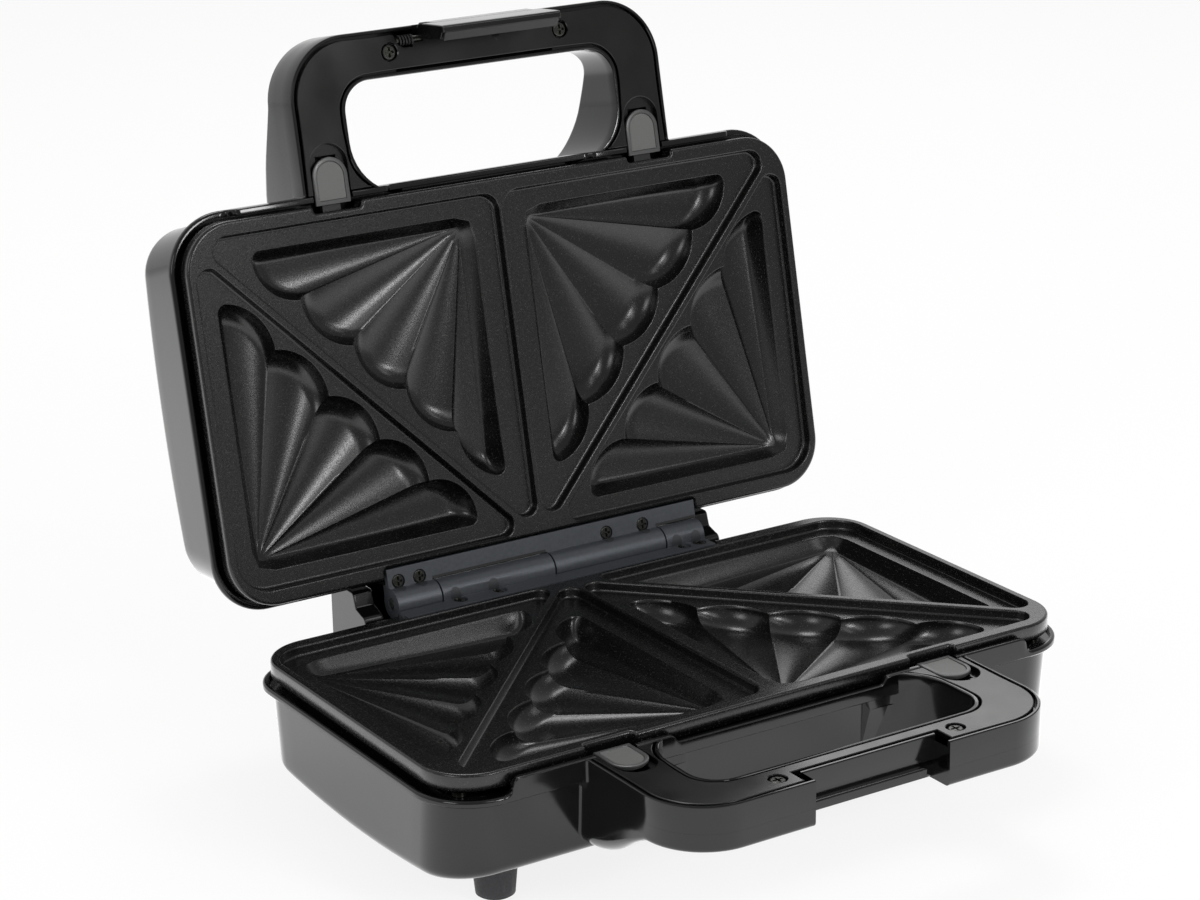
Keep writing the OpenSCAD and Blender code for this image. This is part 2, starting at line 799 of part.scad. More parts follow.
element_r = 3.2;
element_w = 20.1;
loop_x = 100;
loop_y = 40;
loop_r = 22;
cold_x = 14;

// Tubular heater: a loop open at the back, whose two ends turn down.
module element() {
    color("#6d6a66") translate([0, 0, -element_w]) {
        for (s = sides) {
            translate([s * (loop_x - loop_r), 0, 0]) {
                for (t = sides) translate([0, t * (loop_y - loop_r), 0])
                    rotate([0, 0, (s > 0 ? 0 : 180) + (s * t > 0 ? 0 : -90)])
                        rotate_extrude(angle = 90) translate([loop_r, 0]) circle(element_r);
            }
            translate([s * loop_x, -loop_y + loop_r, 0]) rotate([-90, 0, 0])
                cylinder(h = 2 * (loop_y - loop_r), r = element_r);
            translate([s * cold_x, loop_y, -14]) cylinder(h = 14, r = element_r);
            translate([s * cold_x, loop_y, 0]) sphere(element_r);
        }
        rod_x(-loop_x + loop_r, loop_x - loop_r, -loop_y, 0, element_r);
        rod_x(-loop_x + loop_r, -cold_x, loop_y, 0, element_r);
        rod_x(cold_x, loop_x - loop_r, loop_y, 0, element_r);
    }
}

// Screw terminal block standing on a housing's floor.
module terminals(floor_w) {
    color("#d8d4c8") difference() {
        block(-62, -32, 42, 56, -floor_w, -floor_w + 11);
        for (x = [-57, -47, -37]) {
            translate([x, 49, -floor_w + 5]) cylinder(h = 8, r = 2.2);
            translate([x, 41, -floor_w + 5]) rotate([-90, 0, 0]) cylinder(h = 16, r = 1.6);
        }
    }
}

module base_reflector() { in_base() reflector(); }
module lid_reflector() { in_lid() reflector(); }
module base_element() { in_base() element(); }
module lid_element() { in_lid() element(); }
module base_terminals() { in_base() terminals(base_depth - wall - 0.1); }
module lid_terminals() { in_lid() terminals(lid_depth - wall - 0.1); }

module thermostat() {
    color("#c9c2ae") in_base() translate([40, 0, -24.4]) {
        translate([0, 0, -7]) cylinder(h = 7, r = 8);
        for (x = [-4, 4]) block(x - 0.4, x + 0.4, -3, 3, -13, -6);
    }
}

module thermal_fuse() {
    color("#c7a24a") in_base() {
        rod_x(-12, 2, 0, -26.6, 2);
        rod_x(-20, 10, 0, -26.6, 0.6);
    }
}

// ---- Feet, gland and lamps ----

foot_x = 106;
foot_front = -50;
rear_foot_x = 70;
foot_back = 96;

// Tapered rubber foot with a domed sole that ends in a small flat, and a peg
// that plugs into the floor.
module foot() {
    top_r = 8.5;
    low_r = 7;
    dome_r = 12;
    intersection() {
        translate([0, 0, -foot_h]) cylinder(h = foot_h - 0.05, r1 = low_r, r2 = top_r);
        translate([0, 0, -foot_h + dome_r - 0.4]) {
            sphere(dome_r);
            cylinder(h = foot_h, r = dome_r);
        }
    }
    translate([0, 0, -0.1]) cylinder(h = 5, r = 1.9);
}

module feet(x, y) {
    color("#2c2c30") in_base() for (s = sides) translate([s * x, y, -base_depth]) foot();
}

module front_feet() { feet(foot_x, foot_front); }
module rear_feet() { feet(rear_foot_x, foot_back); }

// Rubber bush where a mains lead enters the back of the base.
module cord_gland() {
    color("#161616") in_base()
        translate([-50, hump_back, -base_depth + 18]) rotate([-90, 0, 0]) difference() {
            union() {
                translate([0, 0, -4]) cylinder(h = 4.2, r = 4.9);
                translate([0, 0, 0.05]) cylinder(h = 3, r = 7);
            }
            translate([0, 0, -5]) cylinder(h = 9, r = 3.4);
        }
}

lens_x = 9;
lens_y = 50;
lens_r = 3.6;

module lens(s, tint) {
    color(tint) in_lid() translate([s * lens_x, -lens_y, -lid_depth]) {
        translate([0, 0, -0.8]) cylinder(h = 4.5, r = lens_r - 0.1);
        translate([0, 0, wall + 0.1]) cylinder(h = 1, r = lens_r + 1);
    }
}

module power_lens() { lens(left, "#c02018"); }
module ready_lens() { lens(right, "#2a9a3c"); }

// The two neon lamps behind the lenses.
module lamps() {
    color("#e8b48c") in_lid() for (s = sides)
        translate([s * lens_x, -lens_y, -lid_depth + 6.6]) {
            cylinder(h = 8, r = 2.6);
            sphere(2.6);
        }
}

base_shell();
base_frame();
in_base() plate();  // base_plate
base_reflector();
base_element();
base_handle_cover();
base_cover_screws();
base_body_screws();
base_button_left();
base_button_right();
base_spring_left();
base_spring_right();
base_hinge_leaf();
base_hinge_screws();
hinge_pin();
front_feet();
rear_feet();
cord_gland();
base_terminals();
thermostat();
thermal_fuse();
lid_shell();
lid_frame();
in_lid() plate();  // lid_plate
lid_reflector();
lid_element();
lid_handle_cover();
lid_cover_screws();
lid_body_screws();
lid_button_left();
lid_button_right();
lid_spring_left();
lid_spring_right();
lid_hinge_leaf();
lid_hinge_screws();
latch();
latch_pin();
latch_spring();
power_lens();
ready_lens();
lamps();
lid_terminals();
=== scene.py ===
import json
import math

import bmesh
import bpy
import numpy as np
from mathutils import Matrix
from mathutils.geometry import tessellate_polygon

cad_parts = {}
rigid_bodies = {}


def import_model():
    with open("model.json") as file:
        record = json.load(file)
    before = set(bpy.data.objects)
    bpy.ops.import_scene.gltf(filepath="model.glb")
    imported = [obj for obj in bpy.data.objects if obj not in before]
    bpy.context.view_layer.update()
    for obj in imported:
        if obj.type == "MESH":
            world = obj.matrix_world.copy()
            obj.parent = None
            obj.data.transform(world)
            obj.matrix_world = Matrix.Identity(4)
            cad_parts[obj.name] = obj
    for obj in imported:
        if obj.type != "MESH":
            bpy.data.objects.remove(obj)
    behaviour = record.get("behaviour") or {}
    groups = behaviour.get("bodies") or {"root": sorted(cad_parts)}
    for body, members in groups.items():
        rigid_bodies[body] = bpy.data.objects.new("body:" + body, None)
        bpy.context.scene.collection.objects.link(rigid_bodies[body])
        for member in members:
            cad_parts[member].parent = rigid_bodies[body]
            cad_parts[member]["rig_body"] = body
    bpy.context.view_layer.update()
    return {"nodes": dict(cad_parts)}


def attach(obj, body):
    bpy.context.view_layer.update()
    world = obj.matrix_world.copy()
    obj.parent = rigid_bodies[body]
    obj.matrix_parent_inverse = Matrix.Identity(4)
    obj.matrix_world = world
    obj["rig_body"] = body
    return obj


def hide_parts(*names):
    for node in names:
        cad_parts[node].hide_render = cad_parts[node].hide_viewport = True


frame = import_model()
print("frame:", len(frame["nodes"]), "nodes")

# camera
# angles in degrees, place in metres, focal length in mm on a 36 mm sensor
cameraSpec = {"azimuth": 32.23, "elevation": 18.31, "roll": -1.05, "lens": 93.938, "sensor": 36.0,
              "place": (-0.60920, -0.93501, 0.49937)}


def newObject(name, data):
    # an object at the origin, in the scene
    made = bpy.data.objects.new(name, data)
    bpy.context.scene.collection.objects.link(made)
    return made


def turn(obj, x, y, z, place):
    # an object's own axes and its place become the columns of its matrix
    obj.matrix_world = Matrix([[x[i], y[i], z[i], place[i]] for i in range(3)] + [[0, 0, 0, 1]])


def makeCamera(spec):
    # forward f, right r and up u from azimuth, elevation and roll; the axes are r, u, -f
    az, el, ro = (math.radians(spec[k]) for k in ("azimuth", "elevation", "roll"))
    f = np.array([math.cos(el) * math.sin(az), math.cos(el) * math.cos(az), -math.sin(el)])
    r0 = np.array([math.cos(az), -math.sin(az), 0])
    u0 = np.cross(r0, f)
    data = bpy.data.cameras.new("camera")
    data.lens, data.sensor_width = spec["lens"], spec["sensor"]
    camera = newObject("camera", data)
    turn(camera, math.cos(ro) * r0 + math.sin(ro) * u0, math.cos(ro) * u0 - math.sin(ro) * r0, -f, spec["place"])
    bpy.context.scene.camera = camera


makeCamera(cameraSpec)
print("camera made")

# half frame
# each half is drawn in mm: x across, y towards the hinge, z up from the plate's rim
half = {"centreY": 11.914732, "rimZ": 60.0, "hingeY": 83.5, "hingeZ": 61.0, "openAngle": 101.5, "buttonX": 71.2}


def inBase(p):
    # moved so that the whole object is centred and stands on the floor
    return (p + np.array([0, -half["centreY"], half["rimZ"]])) * 0.001


def inLid(p):
    # mirrored in height, then turned back about the hinge:
    # y = dy cos t - z sin t, z = -dy sin t - z cos t, from the hinge
    t = math.radians(half["openAngle"])
    dy = p[:, 1] - half["hingeY"]
    y = half["hingeY"] - half["centreY"] + dy * math.cos(t) - p[:, 2] * math.sin(t)
    z = half["hingeZ"] - dy * math.sin(t) - p[:, 2] * math.cos(t)
    return np.column_stack([p[:, 0], y, z]) * 0.001


# mesh helpers
def gridFaces(rows, cols, wrap=False):
    # quads between neighbouring rows and columns of a grid of points
    i = np.arange(rows - 1)[:, None] * cols
    c = np.arange(cols if wrap else cols - 1)[None, :]
    n = (c + 1) % cols
    return np.stack([i + c, i + n, i + cols + n, i + cols + c], -1).reshape(-1, 4).tolist()


def joined(parts):
    # several (points, faces) as one
    points, faces, first = [], [], 0
    for p, f in parts:
        points.append(p)
        faces += [[k + first for k in face] for face in f]
        first += len(p)
    return np.concatenate(points), faces


def ringStack(rings):
    # closed loops of equal length, joined one to the next
    rings = np.asarray(rings, float)
    return rings.reshape(-1, 3), gridFaces(rings.shape[0], rings.shape[1], wrap=True)


def loft(sections):
    # ringStack with a face over each end
    points, faces = ringStack(sections)
    count, size = len(points), len(sections[0])
    return points, faces + [list(range(size)), list(range(count - size, count))]


def prism(profile, x0, x1):
    # a closed outline in y and z carried along x
    profile = np.array(profile, float)
    return loft([np.column_stack([np.full(len(profile), x), profile]) for x in (x0, x1)])


def boxes(extents):
    # closed boxes from (x0, x1, y0, y1, z0, z1)
    corners = [[0, 2, 4], [1, 2, 4], [1, 3, 4], [0, 3, 4], [0, 2, 5], [1, 2, 5], [1, 3, 5], [0, 3, 5]]
    faces = gridFaces(2, 4, wrap=True) + [[0, 1, 2, 3], [4, 5, 6, 7]]
    return joined([(box, faces) for box in np.array(extents, float)[:, corners]])


def atHeight(loop, z):
    # a loop in x and y made level at z
    return np.column_stack([loop, np.full(len(loop), z)])


def flatFill(loops, z):
    # a level polygon with holes: the first loop is the outline
    faces = tessellate_polygon([atHeight(loop, 0).tolist() for loop in loops])
    return np.concatenate([atHeight(loop, z) for loop in loops]), [list(face) for face in faces]


def dress(obj, material, body, nodes, edge, sharp):
    # finish, bevelled edges in mm, body and the nodes it stands for; edges over sharp degrees stay crisp
    obj.data.materials.clear()
    obj.data.materials.append(material)
    obj.data.shade_smooth()
    obj.data.set_sharp_from_angle(angle=math.radians(sharp))
    if edge:
        bevel = obj.modifiers.new("edge", "BEVEL")
        bevel.width, bevel.segments = edge * 0.001, 2
        bevel.limit_method, bevel.angle_limit = "ANGLE", math.radians(sharp)
        bevel.harden_normals = True
    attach(obj, body)
    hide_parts(*nodes)


def makePiece(name, shape, side, material, nodes, body=None, edge=0, sharp=32):
    # a piece drawn in the half frame: its points merged where they meet and its faces turned outwards
    points, faces = shape
    mesh = bpy.data.meshes.new(name)
    mesh.from_pydata((inLid if side == "lid" else inBase)(points).tolist(), [], faces)
    work = bmesh.new()
    work.from_mesh(mesh)
    bmesh.ops.remove_doubles(work, verts=work.verts, dist=4e-6)
    bmesh.ops.dissolve_degenerate(work, edges=work.edges, dist=1e-6)
    bmesh.ops.recalc_face_normals(work, faces=work.faces)
    work.to_mesh(mesh)
    work.free()
    dress(newObject(name, mesh), material, body or side, nodes, edge, sharp)


def dressNode(node, material, edge):
    # a copy of a CAD node's mesh with its flat faces joined and its edges eased
    source = frame["nodes"][node]
    mesh = source.data.copy()
    work = bmesh.new()
    work.from_mesh(mesh)
    bmesh.ops.remove_doubles(work, verts=work.verts, dist=2e-6)
    bmesh.ops.dissolve_limit(work, angle_limit=math.radians(0.6), verts=work.verts, edges=work.edges)
    work.to_mesh(mesh)
    work.free()
    dress(newObject(node + "Finished", mesh), material, source["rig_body"], [node], edge, 32)


# materials
def linear(code):
    # sRGB hex to linear: ((c + 0.055) / 1.055) ^ 2.4 above the toe
    c = [int(code[i:i + 2], 16) / 255 for i in (1, 3, 5)]
    return [v / 12.92 if v <= 0.04045 else ((v + 0.055) / 1.055) ** 2.4 for v in c] + [1]


def addNode(tree, kind, given):
    # a key is a socket's name or number, or else a setting; an output given to a socket is linked
    made = tree.nodes.new(kind)
    for key, value in given.items():
        if isinstance(key, str) and key not in made.inputs:
            setattr(made, key, value)
        elif isinstance(value, bpy.types.NodeSocket):
            tree.links.new(value, made.inputs[key])
        else:
            made.inputs[key].default_value = value
    return made


def newMaterial(name):
    # an empty material, its tree, and the object's own coordinates for its patterns
    material = bpy.data.materials.new(name)
    material.use_nodes = True
    tree = material.node_tree
    tree.nodes.clear()
    return material, tree, addNode(tree, "ShaderNodeTexCoord", {}).outputs["Object"]


def finishSurface(tree, shader, tone, colours, grain, roughness, height=None, depthMm=0.0):
    # colour runs from dark to light with tone, roughness from low to high with grain, and height is embossed
    mix = addNode(tree, "ShaderNodeMix", {"data_type": "RGBA", 0: tone, 6: linear(colours[0]), 7: linear(colours[1])})
    ramp = addNode(tree, "ShaderNodeMapRange", {"Value": grain, "From Min": 0.3, "From Max": 0.7,
                                                "To Min": roughness[0], "To Max": roughness[1]})
    shader = dict(shader, **{"Base Color": mix.outputs[2], "Roughness": ramp.outputs["Result"]})
    if height:
        bump = addNode(tree, "ShaderNodeBump", {"Height": height, "Distance": depthMm * 0.001, "Strength": 1.0})
        shader["Normal"] = bump.outputs["Normal"]
    surface = addNode(tree, "ShaderNodeBsdfPrincipled", shader)
    addNode(tree, "ShaderNodeOutputMaterial", {"Surface": surface.outputs["BSDF"]})


def glossPlastic(name, dark, light, rough, waveMm):
    # polished ABS: mirror-like, clouded over 22 mm and with a slow 9 mm waviness from the mould
    material, tree, place = newMaterial(name)
    cloud = addNode(tree, "ShaderNodeTexNoise", {"Scale": 1000 / 22, "Detail": 3, "Vector": place}).outputs["Fac"]
    wave = addNode(tree, "ShaderNodeTexNoise", {"Scale": 1000 / 9, "Detail": 1, "Vector": place}).outputs["Fac"]
    finishSurface(tree, {"IOR": 1.54, "Specular IOR Level": 0.3}, cloud, (dark, light), cloud,
                  (rough * 0.8, rough * 1.25), wave, waveMm)
    return material


def fineGrain(name, dark, light, rough, grainMm, depthMm, metallic=0.0):
    # paint, blacking, bare metal, rubber, matt plastic or ceramic, and dark patches of painted shade: one fine grain
    # in colour, sheen and height
    material, tree, place = newMaterial(name)
    speck = addNode(tree, "ShaderNodeTexNoise", {"Scale": 1000 / grainMm, "Detail": 3, "Vector": place}).outputs["Fac"]
    finishSurface(tree, {"Metallic": metallic}, speck, (dark, light), speck, (rough * 0.85, rough * 1.15),
                  speck, depthMm)
    return material


def nonStick(name):
    # cast aluminium with a dark PTFE coat: a fine pebbled skin with pale mica flecks;
    # the flecks are about 0.1 mm and are drawn at 0.3 mm so that they show
    material, tree, place = newMaterial(name)
    pebble = addNode(tree, "ShaderNodeTexNoise", {"Scale": 1000 / 0.6, "Detail": 3, "Vector": place}).outputs["Fac"]
    cell = addNode(tree, "ShaderNodeTexVoronoi", {"Scale": 1000 / 0.75, "Vector": place})
    tone = addNode(tree, "ShaderNodeSeparateColor", {"Color": cell.outputs["Color"]})
    chosen = addNode(tree, "ShaderNodeMath", {"operation": "GREATER_THAN", 0: tone.outputs[0], 1: 0.72})
    near = addNode(tree, "ShaderNodeMapRange", {"Value": cell.outputs["Distance"], "From Min": 0.34, "From Max": 0.12,
                                                "To Min": 0, "To Max": 1})
    fleck = addNode(tree, "ShaderNodeMath", {"operation": "MULTIPLY", 0: chosen.outputs[0], 1: near.outputs["Result"]})
    finishSurface(tree, {"IOR": 1.5, "Specular IOR Level": 0.4}, fleck.outputs[0], ("#080808", "#3c3c3a"),
                  pebble, (0.2, 0.31), pebble, 0.018)
    return material


def clearLens(name, colour):
    # tinted polycarbonate: smooth and partly clear
    material, tree, place = newMaterial(name)
    haze = addNode(tree, "ShaderNodeTexNoise", {"Scale": 1000 / 1.2, "Detail": 2, "Vector": place}).outputs["Fac"]
    finishSurface(tree, {"IOR": 1.58, "Transmission Weight": 0.6}, haze, (colour, colour), haze, (0.05, 0.12))
    return material


finishes = {
    "housing": glossPlastic("moulded gloss black ABS", "#060607", "#0c0c0d", 0.13, 0.010),
    "frame": glossPlastic("gloss black ABS frame", "#050506", "#09090a", 0.13, 0.008),
    "inlay": glossPlastic("satin black ABS inlay", "#060606", "#0c0c0b", 0.21, 0.006),
    "latch": glossPlastic("gloss black nylon latch", "#0b0b0c", "#111112", 0.12, 0.008),
    "nonstick": nonStick("speckled non-stick on cast aluminium"),
    "hinge": fineGrain("satin grey paint on die-cast zinc", "#383b40", "#4c4f54", 0.38, 1.4, 0.02, 0.45),
    # painted shade: dark patches over the hinge's barrel stand in for the shaded walls of its screw recesses
    "hingeShade": fineGrain("painted shade of the hinge's screw recesses", "#1b1d20", "#232528", 0.6, 0.6, 0.01),
    "button": fineGrain("matt moulded grey plastic", "#4b4c4a", "#585957", 0.5, 0.6, 0.02),
    "buttonRim": fineGrain("satin dark grey plastic", "#363736", "#3f403f", 0.32, 0.5, 0.005),
    # black print for the latch's triangles, and painted shade on the button stems, the latch's hook and the hinge's
    # slots
    "printAndShade": fineGrain("black print and painted black shade", "#050505", "#0a0a0a", 0.5, 0.5, 0.002),
    "blackScrew": fineGrain("blackened steel screw", "#272725", "#393935", 0.27, 0.6, 0.005, 0.8),
    # painted shade: the latch's spring is made near black for the shaded recess it lies in
    "shadedWire": fineGrain("spring wire darkened as painted shade", "#050505", "#090909", 0.55, 0.4, 0.003),
    "steel": fineGrain("zinc plated steel", "#9c9ea0", "#b4b6b8", 0.3, 0.7, 0.004, 1.0),
    "spring": fineGrain("drawn spring wire", "#8f9194", "#a8aaac", 0.28, 0.4, 0.003, 1.0),
    "foot": fineGrain("moulded grey rubber", "#1d1d20", "#252528", 0.7, 0.6, 0.02),
    "gland": fineGrain("moulded black rubber", "#151516", "#1e1e1f", 0.65, 0.6, 0.02),
    "reflector": fineGrain("aluminised sheet steel", "#9a9b9c", "#b5b6b7", 0.35, 1.5, 0.004, 1.0),
    "element": fineGrain("oxidised heater sheath", "#57504a", "#746b62", 0.45, 0.8, 0.01, 0.9),
    "ceramic": fineGrain("cream ceramic", "#cfc8b4", "#dcd6c6", 0.5, 0.9, 0.01),
    "fuse": fineGrain("plain brass", "#b08a45", "#c49b52", 0.3, 0.7, 0.003, 1.0),
    "redLens": clearLens("clear red polycarbonate", "#b3160f"),
    "greenLens": clearLens("clear green polycarbonate", "#128a35"),
    "lampGlass": clearLens("neon lamp glass", "#e6c2a4"),
}
print("materials made:", len(finishes))

# cooking plates
plate = {
    "halfX": 137.0, "halfY": 73.7, "corner": 19.5, "edge": 1.1, "skirt": 6.4,
    "landDrop": 4.0, "flank": 1.65,                # flank: mid-line of a ridge's side from its middle
    "diagonal": (69.45, -0.6929, 0.7211),          # where it crosses y = 0, and its direction
    "landX": 133.35, "landFront": -67.85, "landBack": 67.4, "ribSide": 1.2,
    "wallRun": 4.4, "endRun": 9.0, "legCorner": 7.0, "tip": 3.5,
    "shallow": 5.2, "crease": 6.0, "trough": 8.9, "bulge": 5.4, "endLobe": 0.72, "wallPower": 1.35,
    "rows": 34, "stripCols": 9, "lobeCols": 22, "fanStart": 3.75,
    "nearRows": (0, 0.1, 0.25, 0.5, 0.85, 1.3, 1.9, 2.6, 3.4, 4.3, 5.2, 6.2, 7.2, 8.2, 9.2, 10.5, 12),
    # steps out and down from a pocket's edge, and out and up the foot and the top of a ridge's side
    "lip": ((0, 0.12), (0.12, 0.03), (0.3, 0), (0.55, 0)),
    "flankFoot": ((-1.4, 0), (-0.9, 0), (-0.5, 0.1), (-0.2, 0.4), (-0.05, 0.9)),
    "flankTop": ((0.1, -0.9), (0.2, -0.4), (0.38, -0.12), (0.6, 0), (0.9, 0)),
    # the underside, as shares of the way in and heights
    "under": ((0.03, -6.4), (0.05, -5.6), (0.13, -5.6), (0.15, -15.2), (0.6, -15.2), (1, -15.2)), "coreX": 90.0,
    "hingeNotch": (72.6, 4.4, 1.5), "buttonNotch": (60.9, 81.5, 2.8, 1.35),
}
# the two triangles of a sandwich: legs, cusps between the lobes, and the circles that end them
triangles = {
    "inner": {"legX": 11.15, "legY": -60.3, "cusps": [(90.0, -39.5), (70.2, -18.4), (50.4, 2.1), (30.4, 22.6)],
              "firstEnd": (89.8, -57.8, 18.4), "lastEnd": (9.7, 23.2, 20.7), "landRadii": (7.0, 5.5, 5.0)},
    "outer": {"legX": 125.2, "legY": 60.7, "cusps": [(45.8, 39.8), (64.8, 19.7), (84.0, -0.8), (103.5, -22.2)],
              "firstEnd": (44.7, 57.7, 18.0), "lastEnd": (125.2, -21.4, 21.5), "landRadii": (13.0, 4.5, 5.0)},
}


def arcPoints(centre, radius, start, end, count):
    # centre + radius * (cos a, sin a), with a from start to end
    a = np.linspace(start, end, count)
    return np.column_stack([centre[0] + radius * np.cos(a), centre[1] + radius * np.sin(a)])


def sweepTo(start, end):
    # the end angle brought within half a turn of the start
    return start + (end - start + math.pi) % (2 * math.pi) - math.pi


def arcThrough(a, b, bulge, away, count):
    # circle arc from a to b that stands bulge off its chord, away from a point
    a, b = np.array(a), np.array(b)
    chord = np.linalg.norm(b - a)
    radius = (chord * chord / 4 + bulge * bulge) / (2 * bulge)
    n = np.array([-(b - a)[1], (b - a)[0]]) / chord
    n = n * np.sign(np.dot((a + b) / 2 - np.array(away), n))
    centre = (a + b) / 2 + n * (bulge - radius)
    s = math.atan2(*(a - centre)[::-1])
    return arcPoints(centre, radius, s, sweepTo(s, math.atan2(*(b - centre)[::-1])), count)


def pocketEnds(t):
    # the pocket's far edge, from the tip on the Y leg to the tip on the X leg: a small
    # arc tangent to the leg, the end circle, three middle lobes, and the same again
    corner = np.array([t["legX"], t["legY"]])
    inX, inY = (1, 1) if t["legY"] < 0 else (-1, -1)
    r = plate["tip"]
    cx, cy, big = t["firstEnd"]
    smallY = corner[1] + inY * r
    small = np.array([cx + inX * math.sqrt((big - r) ** 2 - (cy - smallY) ** 2), smallY])
    s0 = math.atan2(-inY, 0)
    s1 = sweepTo(s0, math.atan2(small[1] - cy, small[0] - cx))
    tip1 = arcPoints(small, r, s0, s1, plate["stripCols"] + 1)
    s2 = sweepTo(s1, math.atan2(t["cusps"][0][1] - cy, t["cusps"][0][0] - cx))
    lobes = [arcPoints((cx, cy), big, s1, s2, plate["lobeCols"] + 1)]
    for a, b in zip(t["cusps"][:-1], t["cusps"][1:]):
        lobes.append(arcThrough(a, b, plate["bulge"], corner, plate["lobeCols"] + 1))
    cx, cy, big = t["lastEnd"]
    smallX = corner[0] + inX * r
    small = np.array([smallX, cy + inY * math.sqrt((big - r) ** 2 - (cx - smallX) ** 2)])
    e0 = math.atan2(t["cusps"][3][1] - cy, t["cusps"][3][0] - cx)
    e1 = sweepTo(e0, math.atan2(small[1] - cy, small[0] - cx))
    lobes.append(arcPoints((cx, cy), big, e0, e1, plate["lobeCols"] + 1))
    tip2 = arcPoints(small, r, e1, sweepTo(e1, math.atan2(0, -inX)), plate["stripCols"] + 1)
    ends = [tip1[:-1]] + [lobe[:-1] for lobe in lobes] + [tip2]
    lobeAt = [np.zeros(plate["stripCols"])]
    lobeAt += [k + np.arange(plate["lobeCols"]) / plate["lobeCols"] for k in range(5)]
    lobeAt += [np.full(plate["stripCols"] + 1, 5.0)]
    return np.concatenate(ends), np.concatenate(lobeAt), corner, inX, inY


def pocketGrid(t):
    # columns run from near the square corner to the far edge. Depth is
    # wall(e / wallRun) * end(d / endRun) * (shallow + rise to the crease or trough),
    # with e the distance from the legs' rounded corner and d that from the far edge
    ends, lobeAt, corner, inX, inY = pocketEnds(t)
    n, cols = plate["stripCols"], len(ends)
    inner, r, lipDrop = plate["fanStart"], plate["legCorner"], plate["lip"][0][1]
    start = np.full((cols, 2), inner)
    local = (ends - corner) * [inX, inY]           # square corner at 0, legs along +x and +y
    length = np.linalg.norm(local - start, axis=1)
    near = np.array(plate["nearRows"])
    run = near[-1]
    far = np.linspace(0, 1, plate["rows"] - len(near) + 1)[1:]
    share = np.concatenate([near[None, :] / length[:, None],
                            run / length[:, None] + (1 - run / length[:, None]) * far[None, :]], axis=1)
    grid = local[:, None, :] + (start - local)[:, None, :] * share[:, :, None]
    for k in range(n):                             # wall strips: ruled between the leg and the fan
        for strip, along in ((k, 0), (cols - 1 - k, 1)):
            inside = n if along == 0 else cols - 1 - n
            leg = grid[inside, :, along]
            bend = np.clip(1 - (leg - inner) / (r - inner), 0, 1) * math.pi / 4
            edge = np.zeros((len(leg), 2))
            edge[:, 1 - along] = r - r * np.cos(bend)
            edge[:, along] = np.where(bend > 0, r - r * np.sin(bend), leg)
            line = edge + (grid[inside] - edge) * k / n
            reach = np.clip(1 - share[inside] * length[inside] / run, 0, 1)[:, None]
            grid[strip] = line + (local[strip] - line[0]) * reach
    e1, e2 = grid[:, :, 1], grid[:, :, 0]
    e = r - np.hypot(np.clip(r - e1, 0, None), np.clip(r - e2, 0, None))
    wall = 1 - np.clip(1 - e / plate["wallRun"], 0, 1) ** plate["wallPower"]
    d = share * length[:, None]
    end = np.sqrt(np.clip(1 - np.clip(1 - d / plate["endRun"], 0, 1) ** 2, 0, 1))
    out = np.clip(1 - share, 0, 1)
    x = (lobeAt % 1)[:, None]
    part = plate["endLobe"]                        # how much of its arc an end lobe shows
    x = np.where(lobeAt[:, None] < 1, 1 - part + part * x, np.where(lobeAt[:, None] >= 4, part * x, x))
    x = np.where(lobeAt[:, None] == 5, part, x)
    lobe = 4 * x * (1 - x)
    floor = plate["shallow"] + (plate["crease"] - plate["shallow"]) * out
    floor = floor + (plate["trough"] - plate["crease"]) * lobe * out ** 1.1
    z = -plate["landDrop"] - lipDrop - wall * end * (floor - lipDrop)
    xy = grid * [inX, inY] + corner
    points = np.concatenate([xy, z[:, :, None]], axis=2)
    outline = np.concatenate([xy[0, ::-1][:-1], xy[:, 0], xy[-1, 1:]])
    return points, outline


def loopNormals(loop):
    # unit normals of a closed anticlockwise loop, pointing out
    d = np.roll(loop, -1, axis=0) - np.roll(loop, 1, axis=0)
    d = d / np.linalg.norm(d, axis=1)[:, None]
    return np.column_stack([d[:, 1], -d[:, 0]])


def anticlockwise(loop):
    # turned round where its signed area is negative
    x, y = loop[:, 0], loop[:, 1]
    return loop if np.sum(x * np.roll(y, -1) - np.roll(x, -1) * y) > 0 else loop[::-1]


def landCorners(name):
    # corners of a land: square corner, Y-leg tip, X-leg tip
    u0, dx, dy = plate["diagonal"]
    n = np.array([dy, -dx])
    side = -1 if name == "inner" else 1
    legX = plate["ribSide"] if name == "inner" else plate["landX"]
    legY = plate["landFront"] if name == "inner" else plate["landBack"]
    p = np.array([u0, 0]) + n * side * plate["flank"]
    onY = p + np.array([dx, dy]) * (legY - p[1]) / dy
    onX = p + np.array([dx, dy]) * (legX - p[0]) / dx
    return [np.array([legX, legY]), onY, onX]


def roundCorner(before, p, after, r, count):
    # arc of radius r that touches both sides of the corner p, r / tan(half the angle) from it
    e0 = (before - p) / np.linalg.norm(before - p)
    e1 = (after - p) / np.linalg.norm(after - p)
    halfAngle = math.acos(np.clip(np.dot(e0, e1), -1, 1)) / 2
    centre = p + (e0 + e1) / np.linalg.norm(e0 + e1) * r / math.sin(halfAngle)
    t0, t1 = p + e0 * r / math.tan(halfAngle) - centre, p + e1 * r / math.tan(halfAngle) - centre
    a0 = math.atan2(t0[1], t0[0])
    return arcPoints(centre, r, a0, sweepTo(a0, math.atan2(t1[1], t1[0])), count)


def landLoop(name):
    # the land's rounded triangle: its three corner arcs with evenly spaced points between
    corners = landCorners(name)
    arcs = [roundCorner(corners[i - 1], corners[i], corners[(i + 1) % 3], triangles[name]["landRadii"][i], 16)
            for i in range(3)]
    t = np.linspace(0, 1, 14)[1:-1, None]
    parts = []
    for i in range(3):
        start, end = arcs[i][-1], arcs[(i + 1) % 3][0]
        parts += [arcs[i], start + (end - start) * t]
    return anticlockwise(np.concatenate(parts))


